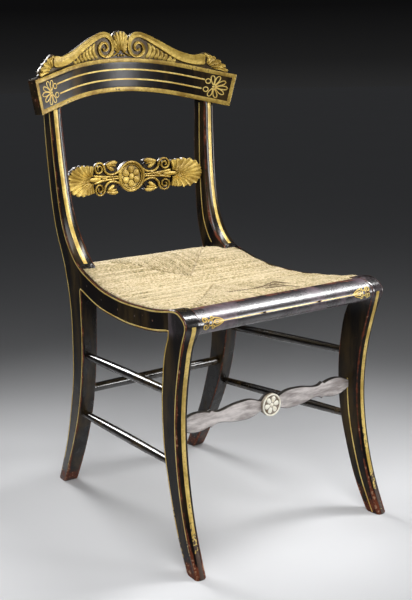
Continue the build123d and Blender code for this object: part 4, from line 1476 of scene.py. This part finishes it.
@dataclass
class Splat:
    """The carved cross slat: medallion, buds, scrolls and two palmettes."""

    front_y: float = 229.0
    radius: float = 480.0
    thick: float = 15.0
    middle_z: float = 579.5
    ring: float = 30.0
    palmette: Tuple[float, float, float] = (117.5, 33.0, 30.0)

    def front(self, x: float, rise: float, depth: float) -> np.ndarray:
        """Return a place at X, a height over the middle and a depth behind the front."""
        radius = self.radius + depth
        y = self.front_y - self.radius + math.sqrt(radius ** 2 - x ** 2)
        return placed(x, y, self.middle_z + rise)

    def half_height(self, x: float) -> float:
        """Return half the height of the ground board at a distance from the middle."""
        heights = [9.0]
        if x < self.ring - 1:
            heights.append(math.sqrt((self.ring - 1) ** 2 - x ** 2))
        if 28 < x < 96:
            heights.append(24.5 if 33 < x < 82 else 19.0)
        cx, a, b = self.palmette
        if abs(x - cx) < a - 2:
            heights.append((b - 2.5) * math.sqrt(1 - ((x - cx) / (a - 1.5)) ** 2))
        return max(heights)

    def build_ground(self) -> None:
        """Build the sunk board that the carving stands on."""
        rings = []
        for x in both_ways((0, 6, 12, 18, 23, 26, 28, 30, 32, 34, 40, 50, 60, 70, 78, 82, 84, 88, 92, 98, 106, 114, 122,
                            130, 137, 143, 147, 149.5, 153)):
            half = self.half_height(abs(x))
            ring = ((-half, 6.6), (0, 6.6), (half, 6.6), (half + 0.4, 8), (half, 14.0), (0, 14.6), (-half, 14.0),
                    (-half - 0.4, 8))
            rings.append([self.front(x, rise, depth) for rise, depth in ring])
        BENCH.loft(rings)
        BENCH.piece("splat_ground", BLACK, ["splat"])

    def carve_medallion(self) -> None:
        """Carve the ring and its flower."""
        for *radii, rise, depth in ((29.8, 24.4, 4.4, 4.6), (24.0, 21.8, 1.6, 4.0)):
            edges = [[(r * math.cos(t), r * math.sin(t)) for t in round_turns(48, True)] for r in radii]
            BENCH.band(self.front, *edges, Section.ROUND, rise, depth, 14.0)
        # the relief numbers set the painted shade on the ground round the flower
        ground = ((0.4, 5.2, 0.5), (12, 5.2, 0.5), (20, 5.2, 0.5), (23.5, 5.2, 0.1), (23.5, 8, 0))
        BENCH.disc(self.front, ground, 48)
        for k in range(6):
            turn = math.radians(30 + 60 * k)
            petal = [(math.cos(turn) * r, math.sin(turn) * r) for r in (5.5, 12, 21.2)]
            BENCH.rib(self.front, petal, [5.0, 11.0, 15.2, 13.6, 9.0], 15, 3.4, 5.0, 8, (0.15, 0.3))
        heart = ((-6.4, 0), (0, 0), (6.4, 0))
        BENCH.rib(self.front, heart, [10.5, 12.4, 10.5], 11, 3.4, 3.6, 8, (0.3, 0.3))

    def carve_quarter(self, side: int, up: int) -> None:
        """Carve a bud, its stalk and the scroll beside it.

        Args:
            side: 1 for the right, -1 for the left.
            up: 1 for the upper half, -1 for the lower.
        """
        scroll = [(21, 17.5), (26, 12.6), (33, 8.6), (41, 6.6), (49, 6.9), (56, 10.4), (60, 15.6)]
        for t, r in zip(np.radians(np.linspace(170, -440, 46)), np.linspace(12.2, 2.2, 46)):
            scroll.append((73.3 + r * math.cos(t), 19.0 + r * math.sin(t)))
        widths = [4.6, 4.4, 4.0, 3.5, 3.2]
        BENCH.rib(self.front, scroll, widths, 100, 4.8, 6.0, 9, (0.02, 0.05), side=side, up=up)
        for line, widths, rise in BUD:
            BENCH.rib(self.front, line, widths, 13, rise, 6.4, 13.6, (0.2, 0.3), side=side, up=up)

    def carve_palmette(self, side: int) -> None:
        """Carve the stem and the palmette of one end.

        Args:
            side: 1 for the right, -1 for the left.
        """
        stem, widths = ((27, 1.7), (46, 2.3), (66, 3.6), (88, 7.4)), [2.8, 3.8, 5.2, 5.6, 4.0]
        for up in (-1, 1):
            BENCH.rib(self.front, stem, widths, 20, 4.6, 6.2, 12, (0.05, 0.1), side=side, up=up)
        for start, stop, width, rise in ((54, 68, 5.4, 5.2), (68, 101, 9.6, 5.8)):
            line = ((start, 0), ((start + stop) / 2, 0), (stop, 0))
            widths = [width * 0.8, width, width * 0.9]
            BENCH.rib(self.front, line, widths, 12, rise, 6.0, 12, (0.4, 0.5), side=side)
        for *line, width in LOBES:
            widths = width * np.array((0.28, 0.45, 0.78, 1.02, 1))
            for up in ((1,) if line[0][1] == 0 else (-1, 1)):
                BENCH.rib(self.front, line, widths, 17, 4.8, 6.0, 13.8, (0.12, 0.13), Section.FLUTE, side, up)

    def build(self) -> None:
        """Build the board and its carving."""
        self.build_ground()
        self.carve_medallion()
        for side in (-1, 1):
            self.carve_palmette(side)
            for up in (-1, 1):
                self.carve_quarter(side, up)
        BENCH.piece("splat_carving", GILT_CARVING)


# ---- seat --------------------------------------------------------------------
NOSE = (
    (-198, 423.4), (-206.5, 423), (-217, 418.6), (-226.4, 411.2), (-230.6, 403), (-228.2, 394), (-221.5, 387.5),
    (-211, 385.5), (-198, 386),
)
RUSH_TOP = (
    (187.5, 436), (150, 438.5), (128, 437), (93, 427), (54, 417.5), (16, 412.5), (-20, 411), (-56, 411.5),
    (-90, 413.5), (-124, 416.5), (-156, 420.5), (-180, 422.5), (-197.5, 420.5),
)
RUSH_BOTTOM = (
    (-197.5, 388), (-156, 382), (-90, 374), (-20, 371.5), (54, 377), (93, 386), (135, 398), (187.5, 404),
)
TEAR = ((-33, -99), (-2, -108), (27, -118), (55, -123), (84, -124))
LOOSE_ENDS = (    # X, Y and the height above the seat
    ((34, -122, 3.0), (44, -121, 5.5), (55, -126, 6.5), (66, -124, 4.5), (76, -118, 2.0)),
    ((40, -127, 2.0), (47, -134, 4.5), (58, -136, 5.5), (68, -131, 4.0), (79, -133, 1.5)),
    ((48, -122, 2.0), (55, -113, 5.0), (64, -112, 6.0), (72, -117, 4.0), (83, -116, 1.0)),
    ((20, -140, 0.5), (26, -155, 2.2), (33, -168, 2.8), (44, -178, 2.4), (58, -185, 0.6)),
    ((12, -121, 1.0), (24, -130, 3.2), (38, -137, 4.0), (50, -147, 2.6), (57, -158, 0.6)),
)


@dataclass
class FrontRail:
    """The rounded rail over the front of the rush, with its painting and nails."""

    nails: Tuple[float, ...] = (-168.0, -58.0, 58.0, 168.0)
    line_z: float = 404.6
    line_half: float = 0.0085

    def __post_init__(self) -> None:
        """Sample the rail's section."""
        self.leg_inner = Gauge(LEG_INNER)
        self.profile = Smooth(NOSE)

    def end(self, y: float, z: float) -> float:
        """Return half the rail's length at a place of its section."""
        return frame_x(y, self.leg_inner(z))

    def face(self, share: float, around: float, depth: float) -> np.ndarray:
        """Return a place on the rail.

        Args:
            share: -1 at the left end, 1 at the right one.
            around: Share of the way round the section, from the top.
            depth: Depth below the surface.

        Returns:
            The place.
        """
        y, z = self.profile.at(around)
        ahead, behind = self.profile.at(around + 0.01), self.profile.at(around - 0.01)
        way = (ahead - behind) / np.linalg.norm(ahead - behind)
        return placed(share * self.end(y, z), y - way[1] * -depth, z + way[0] * -depth)

    def build(self) -> None:
        """Build the rail, its gold line, its end scrolls and its nails."""
        section, back = self.profile.run(30), (-198, 405)
        rings = []
        for share in (-1.0, -0.997, *np.linspace(-0.96, 0.96, 41), 0.997, 1.0):
            end = 0.7 if abs(share) == 1.0 else 0.0
            ring = [(y, z, end + (0.75 if i < 4 else 0.0)) for i, (y, z) in enumerate(section)]
            rings.append([(placed(share * self.end(y, z), y, z), worn) for y, z, worn in (*ring, (*back, 0.0))])
        BENCH.marked(rings)
        BENCH.piece("front_roll", BLACK_ROLL, ["front_rail"])
        middle = self.around(self.line_z)
        edges = [[(s, middle + way * self.line_half) for s in np.linspace(-0.86, 0.86, 50)] for way in (-1, 1)]
        BENCH.band(self.face, *edges, Section.FLAT, 0.22)
        for side in (-1, 1):
            for line, up in self.scrolls():
                BENCH.rib(self.flat, line, [1.9], 24, 0.4, side=side, up=up)
        BENCH.piece("front_roll_painting", GILT_LINE)
        head = ((1.3, 6.0, 0), (1.3, 0.4, 0), (1.5, -0.05, 0), (0.9, -0.12, 0), (0.2, -0.12, 0))
        for x in self.nails:
            BENCH.disc(self.flat, head, 10, (x, 0.0))
        BENCH.piece("front_roll_nails", IRON, ["front_rail_nails"])

    def around(self, z: float) -> float:
        """Return the share of the section's front that lies at a height."""
        shares = np.linspace(0.3, 0.62, 200)
        heights = np.array([self.profile.at(s)[1] for s in shares])
        return float(shares[int(np.argmin(abs(heights - z)))])

    def flat(self, x: float, rise: float, depth: float) -> np.ndarray:
        """Return a place at X and a distance above the gold line, measured round the roll."""
        around = self.around(self.line_z) - rise / self.profile.knots[-1]
        return self.face(x / self.end(*self.profile.at(around)), around, depth)

    def scrolls(self) -> List[Tuple[Outline, int]]:
        """Return the lines of the right end's looped ornament, each with 1, or -1 where it is upside down."""
        turns = round_turns(16, True)
        lines = [
            ([(147.5 - 7 * math.cos(t), 4.4 * math.sin(t) * (0.65 - 0.35 * math.cos(t))) for t in turns], 1),
            ([(161.5 + 4.2 * math.cos(t), 4.6 * math.sin(t)) for t in turns], 1),
        ]
        curl = []
        for k in range(22):
            t, r = math.radians(205 - 23 * k), 5.4 - 0.19 * k
            curl.append((170.6 + r * math.cos(t), 5.2 + r * math.sin(t) * 0.95))
        stalk = ((137, 0.6), (142, 4.0), (148, 6.2), (154.5, 7.6))
        ring = [(156.5 + 2.4 * math.cos(t), 7.4 + 2.2 * math.sin(t)) for t in round_turns(12, True)]
        return lines + [(line, up) for up in (-1, 1) for line in (curl, stalk, ring)]


@dataclass
class RushSeat:
    """The rush seat, wound over four lists in four fields."""

    pitch: float = 4.5
    cord: float = 2.35
    twist: float = 9.0
    front_y: float = -197.2
    rear_y: float = 187.3
    front_seam: float = -21.0
    rear_seam: float = 46.5
    seed: int = 7

    def __post_init__(self) -> None:
        """Sample the seat's section and start the dice."""
        self.top = Gauge(RUSH_TOP, True)
        self.bottom = Gauge(RUSH_BOTTOM, True)
        self.dice = random.Random(self.seed)

    def edge(self, y: float) -> float:
        """Return how far the rush reaches from the middle at a depth."""
        return frame_x(y, 27.2 if y < -177.5 else 32.6 if y > 134.5 else 5.2)

    def swell(self, x: float, y: float) -> float:
        """Return how far the weave rises or sinks at a place."""
        waves = 0.75 * math.sin(y / 7.4 + 0.6 * math.sin(x / 60.0)) + 0.55 * math.sin(y / 13.1 + 1.3 + x / 210.0)
        waves += 0.5 * math.sin(x / 23.0 + 0.7) * math.sin(y / 31.0)
        return 0.8 * waves - 0.6

    def tear(self, x: float) -> float:
        """Return the depth at which the front cords have parted."""
        return float(np.interp(x, *zip(*TEAR)))

    def lay(self, start: float, stop: float, spot: Callable[[float], Sequence[float]], sign: float,
            wrap: Optional[Sequence[Sequence[float]]] = None, torn: bool = False) -> None:
        """Lay a cord that dips at its start, and dips or wraps over at its end, unless it would be too short.

        Args:
            start: Where it comes up.
            stop: Where it goes down.
            spot: Gives its place at a distance.
            sign: 1 on top, -1 underneath.
            wrap: Places that it goes on through over the edge.
            torn: Its end is broken and painted dark as the shade in the parting.
        """
        length = abs(stop - start)
        if length < 7.0:
            return
        way = 1 if stop > start else -1
        wobble = [self.dice.uniform(-0.35, 0.35) for _ in range(5)]
        points, dusk = [], []
        # the third number of each mark is painted shade, dark where the cord dives under
        marks = [(0.0, -5.0, 0.7), (1.2, -2.0, 0.35), (min(4.0, length * 0.3), 0.0, 0.0)]
        for k in range(1, 5):
            marks.append((5.0 + (length - 10.0) * k / 5.0, wobble[k], 0.0))
        marks = [m for m in marks if m[0] < length - 3.0]
        while len(marks) < 7:
            marks.append((marks[-1][0] + (length - 2.0 - marks[-1][0]) * 0.3, 0.0, 0.0))
        if torn:
            marks += [(length - 1.9, 0.3, 0.1), (length - 1.5, 0.2, 1.0), (length - 0.2, -2.4, 1.0)]
            marks.append((length, -5.0, 1.0))
        elif wrap is None:
            marks += [(length - 1.6, -0.2, 0.1), (length - 0.4, -2.8, 0.6), (length + 0.2, -6.5, 1.0)]
        else:
            marks += [(length - 1.0, 0.0, 0.0)]
        for ahead, rise, shade in marks:
            x, y, z = spot(start + way * ahead)
            points.append((x, y, z + sign * rise))
            dusk.append(shade)
        if wrap is not None:
            points += [tuple(p) for p in wrap]
            # painted shade: a little darker where the cord wraps over the rear edge
            dusk += [0.1] * len(wrap)
        tint = self.dice.uniform(0.2, 0.95)
        turns = sum(math.dist(a, b) for a, b in zip(points, points[1:])) / self.twist
        radii = [self.cord * (0.92 + 0.16 * self.dice.random())] * len(points)
        marks = {"tint": tint, "turns": turns, "dusk": np.array(dusk)[:, None]}
        BENCH.tube([placed(*p) for p in points], radii, marks)

    def over(self, x: float, y: float) -> Tuple[float, float, float]:
        """Return the middle of a cord on the top."""
        return x, y, self.top(y) - self.cord + self.swell(x, y)

    def under(self, x: float, y: float) -> Tuple[float, float, float]:
        """Return the middle of a cord on the underside."""
        return x, y, self.bottom(y) + self.cord + 0.4

    def weave(self, top: bool) -> None:
        """Lay the cords of the top or of the underside.

        Args:
            top: True for the top.
        """
        at, sign = (self.over, 1.0) if top else (self.under, -1.0)
        y = self.front_y + self.pitch / 2
        while y < self.rear_y - 2:
            seam = max(self.front_seam - y, y - self.rear_seam, 0.0)
            edge = self.edge(y) - self.cord * 0.3
            for side in (-1, 1):
                if seam > 0:
                    self.lay(seam, edge, lambda a, s=side, d=y: at(s * a, d), sign)
                elif side > 0:
                    self.lay(-edge, edge, lambda a, d=y: at(a, d), sign)
            y += self.pitch
        half = int(176 / self.pitch)
        stop = self.front_y + self.cord
        torn_from, torn_to = TEAR[0][0], TEAR[-1][0]
        for k in range(-half, half + 1):
            x = k * self.pitch
            front = self.front_seam - abs(x)
            if top and torn_from < x < torn_to:
                gap = 4.2 * math.sin(math.pi * (x - torn_from) / (torn_to - torn_from)) + 0.5
                self.lay(front, self.tear(x) + gap, lambda a, c=x: at(c, a), sign, torn=True)
                front = self.tear(x) - gap
            self.lay(front, stop, lambda a, c=x: at(c, a), sign)
            rear = self.rear_seam + abs(x)
            if abs(x) < 140:
                face = self.rear_y - self.cord - 0.2
                middle = (self.top(187) + self.bottom(187)) / 2
                edge = self.top(187) - 5.5 if top else self.bottom(187) + 5.5
                wrap = [(x, face - 1.2, edge + sign * 2.2), (x, face, edge - sign * 0.6), (x, face, middle - sign)]
                self.lay(rear, face - 4.0, lambda a, c=x: at(c, a), sign, wrap)

    def build_pad(self) -> None:
        """Build the stuffing under the cords, painted dark as the shade beneath them."""
        rings = []
        for y in (-195.5, -190, -178.4, -177.2, -160, -130, -95, -60, -20, 20, 55, 90, 115, 133.6, 135.4, 150, 170,
                  183.0):
            edge = self.edge(y) - 1.5
            high, low = self.top(y) - 4.4, self.bottom(y) + 4.6
            ring = [(-edge, low + 2), (-edge + 2, low), (-edge / 2, low), (0, low), (edge / 2, low), (edge - 2, low),
                    (edge, low + 2), (edge, high - 2), (edge - 2, high)]
            ring += [(edge * s, high - 0.6) for s in (0.5, 0, -0.5)] + [(-edge + 2, high), (-edge, high - 2)]
            rings.append([placed(x, y, z) for x, z in ring])
        # painted shade: the stuffing is darkened to the shade under the cords
        BENCH.loft(rings, {"tint": 0.15, "dusk": 0.75, "turns": 0.0})
        BENCH.piece("rush_stuffing", RUSH, ["rush_seat"])

    def build_loose(self) -> None:
        """Lay the broken ends of cord at the parting."""
        for end in LOOSE_ENDS:
            run = Smooth(end).run(16)
            path = [placed(x, y, self.top(y) + rise + self.swell(x, y) - 0.6) for x, y, rise in run]
            radii = [0.95 - 0.5 * i / 15 for i in range(16)]
            # painted shade: the loose ends are dark, standing in for the shadows of the parted cords
            BENCH.tube(path, radii, {"tint": 0.45, "turns": 6.0, "dusk": 0.8})
        BENCH.piece("rush_loose_ends", RUSH)

    def build(self) -> None:
        """Build the stuffing, both faces of the weave and the loose ends."""
        self.build_pad()
        for name, top in (("rush_top", True), ("rush_underside", False)):
            self.weave(top)
            BENCH.piece(name, RUSH, angle=80.0)
        self.build_loose()


# ---- stretchers --------------------------------------------------------------
ARM = ((14, 8), (24, 11.5), (36, 15.5), (58, 16.5), (82, 14), (102, 10.3), (114, 11.5), (120, 15))
PADDLE = ((125, 12.5), (135, 15.2), (150, 16.5), (166, 14), (178, 9), (186, 6))


@dataclass
class FrontStretcher:
    """The flat shaped stretcher with its roundel."""

    front_y: float = -174.0
    middle_z: float = 228.0
    thick: float = 10.0
    hub: float = 18.0
    roundel: float = 19.5
    arris: float = 2.0
    end: float = 182.4

    def half_height(self, x: float) -> float:
        """Return half the stretcher's height at a distance from the middle."""
        heights = [math.sqrt(self.hub ** 2 - x ** 2) if x < self.hub else 0.0]
        if 14 <= x <= 120:
            heights.append(self.arm(x))
        elif 120 < x < 125:
            heights.append(15 - 2.5 * (x - 120) / 5)
        elif x >= 125:
            heights.append(self.paddle(x))
        return max(heights)

    def front(self, x: float, rise: float, depth: float) -> np.ndarray:
        """Return a place at X, a height over the middle and a depth behind the front."""
        return placed(x, self.front_y + depth, self.middle_z + rise)

    def build(self) -> None:
        """Build the stretcher and the roundel."""
        self.arm, self.paddle = Gauge(ARM, True), Gauge(PADDLE, True)
        xs = (*np.linspace(0, 13, 6), *np.linspace(14.5, 110, 30), 113, 115.5, 117.5, 119, 120, 121.2, 123, 125,
              126.5, 129, 132, *np.linspace(136, self.end, 16))
        thick, r = self.thick, self.arris
        section = (    # how far below the upper edge, how far behind the front, and how worn
            (5, 0, 0), (r, 0, 0.3), (0.45 * r, 0.45 * r, 0.8), (0, r, 1), (0, thick / 2, 1), (0, thick - r, 1),
            (0.45 * r, thick - 0.45 * r, 0.8), (r, thick, 0.3), (5, thick, 0),
        )
        rings = []
        for x in both_ways(xs):
            half = self.half_height(abs(x))
            ring = [(half - drop, depth, worn) for drop, depth, worn in section]
            ring += [(-rise, thick - depth, worn) for rise, depth, worn in ring]
            rings.append([(self.front(x, rise, depth), worn) for rise, depth, worn in ring])
        BENCH.marked(rings)
        BENCH.piece("front_slat", FADED, ["front_stretcher"])
        radius = self.roundel
        # the third number of each ring sets the painted shade: dark down the side and round the inner ring, pale on the
        # rim
        BENCH.disc(self.front, (
            (0.4, 0.3, 0), (radius - 0.6, 0.3, 0), (radius, -0.4, 0.1), (radius, -5.8, 0.2), (radius - 0.5, -6.8, 1),
            (radius - 1.5, -7.2, 1), (radius - 2.6, -6.8, 0.9), (radius - 3.2, -5.4, 0.1), (radius - 4.0, -5.2, 0.1),
            (8.0, -5.3, 0.15), (0.5, -5.3, 0.15),
        ), 48)
        for k in range(6):
            turn = math.radians(60 * k + 8)
            petal = [(math.cos(turn) * r, math.sin(turn) * r) for r in (3.8, 9.0, 15.4)]
            BENCH.rib(self.front, petal, [3.4, 7.4, 9.4, 7.0], 11, 2.2, -5.0, -3.0, (0.25, 0.35))
        heart = ((-3.6, 0), (0, 0), (3.6, 0))
        BENCH.rib(self.front, heart, [6.5, 7.2, 6.5], 9, 2.4, -5.0, -3.0, (0.5, 0.5))
        BENCH.piece("slat_roundel", CREAM, ["stretcher_roundel"])


# ---- studio ------------------------------------------------------------------
@dataclass
class Studio:
    """Floor, lights and camera."""

    azimuth: float = -0.634570423
    elevation: float = 0.219924834
    roll: float = -0.0191666765
    distance: float = 1.88746853
    aim_height: float = 0.37729025
    lens: float = 63.908
    floor_reach: float = 30.0

    def build_floor(self) -> None:
        """Lay the floor."""
        deselect()
        bpy.ops.mesh.primitive_circle_add(vertices=96, radius=self.floor_reach, fill_type="NGON", location=(0, 0, 0))
        floor = bpy.context.object
        floor.name = "studio_floor"
        floor.data.materials.append(FLOOR.material())

    def light(
        self, name: str, spot: Sequence[float], aim: Sequence[float], size: Pair, power: float, spread: float
    ) -> None:
        """Hang a soft light.

        Args:
            name: Its name.
            spot: Its place in metres.
            aim: The place it faces.
            size: Its width and height in metres.
            power: Its power in watts.
            spread: The angle in degrees that its light fills.
        """
        lamp = bpy.data.lights.new(name, "AREA")
        lamp.shape = "RECTANGLE"
        lamp.spread = math.radians(spread)
        lamp.size, lamp.size_y = size
        lamp.energy = power
        body = bpy.data.objects.new(name, lamp)
        bpy.context.scene.collection.objects.link(body)
        way = Vector(spot) - Vector(aim)
        body.rotation_euler = way.to_track_quat("Z", "Y").to_euler()
        body.location = spot

    def build_lights(self) -> None:
        """Hang the lights and set the dim room."""
        self.light("key_softbox", (-0.6, -1.0, 1.5), (0.05, -0.05, 0.1), (1.0, 1.0), 4.3, 78.0)
        self.light("overhead_strip", (1.0, -0.35, 1.95), (0.0, -0.1, 0.3), (0.28, 1.3), 3.0, 46.0)
        self.light("front_right_softbox", (1.25, -1.75, 0.95), (-0.1, 0.1, 0.6), (0.6, 0.95), 2.0, 45.0)
        self.light("rear_softbox", (-0.15, 2.1, 1.45), (-0.1, 0.0, 0.35), (1.1, 0.8), 4.5, 40.0)
        self.light("left_softbox", (-2.2, 0.3, 1.2), (0.0, 0.0, 0.7), (0.5, 0.8), 1.0, 50.0)
        self.light("right_softbox", (2.5, -0.3, 0.35), (-0.1, 0.2, 0.8), (1.3, 0.8), 1.1, 40.0)
        world = bpy.data.worlds.new("dim_room")
        graph = Graph("dim_room", world)
        spot = graph.node("ShaderNodeTexCoord")
        level = graph.node("ShaderNodeSeparateXYZ", None, {0: spot}, 2)
        colour = graph.ramp(level + 0.03, [
            (0.0, (0.024, 0.024, 0.0245)), (0.03, (0.0125, 0.0125, 0.0128)), (0.079, (0.004, 0.004, 0.0042)),
            (0.3, (0.008, 0.008, 0.0085)), (0.63, (0.045, 0.046, 0.048)),
        ])
        graph.close(graph.node("ShaderNodeBackground", None, {0: colour, 1: 1.0}), "ShaderNodeOutputWorld")
        bpy.context.scene.world = world
        bpy.context.scene.view_settings.view_transform = "Standard"

    def build_camera(self) -> None:
        """Set up the camera."""
        az, el = self.azimuth, self.elevation
        back = Vector((math.sin(az) * math.cos(el), -math.cos(az) * math.cos(el), math.sin(el)))
        aim = Vector((0, DATUM_SHIFT * MILLIMETRE, self.aim_height))
        right = (-back).cross(Vector((0, 0, 1))).normalized()
        up = right.cross(-back)
        turned = right * math.cos(self.roll) + up * math.sin(self.roll)
        upright = up * math.cos(self.roll) - right * math.sin(self.roll)
        data = bpy.data.cameras.new("camera")
        data.lens = self.lens
        data.sensor_width = 36.0
        camera = bpy.data.objects.new("camera", data)
        bpy.context.scene.collection.objects.link(camera)
        place = Matrix((turned, upright, back)).transposed().to_4x4()
        place.translation = aim + back * self.distance
        camera.matrix_world = place
        bpy.context.scene.camera = camera

    def build(self) -> None:
        """Build the floor, the lights and the camera."""
        self.build_floor()
        self.build_lights()
        self.build_camera()


# ---- assembly ----------------------------------------------------------------
KEPT_NODES: Dict[str, Finish] = {
    **{f"{level}_side_stretcher_{hand.name.lower()}": BLACK_RODS for level in ("upper", "lower") for hand in Hand},
    "rear_stretcher": BLACK_RODS,
    **dict.fromkeys(("side_list_left", "side_list_right", "pediment_dowels", "roundel_pin"), WOOD),
    **dict.fromkeys(("front_list", "rear_list"), WOOD_ACROSS),
    "crest_screws": IRON,
}


def finish_kept_nodes() -> None:
    """Give the CAD nodes that stay their finishes."""
    for name, finish in KEPT_NODES.items():
        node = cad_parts[name]
        node.data.materials.clear()
        node.data.materials.append(finish.material())
        LOG.info("%s: finished", name)


def main() -> None:
    """Build the chair and its studio."""
    logging.basicConfig(level=logging.INFO, format="%(message)s")
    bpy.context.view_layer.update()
    for hand in Hand:
        SideFrame(hand).build()
    CREST.build()
    Splat().build()
    FrontRail().build()
    RushSeat().build()
    FrontStretcher().build()
    finish_kept_nodes()
    Studio().build()


if __name__ == "__main__":
    main()
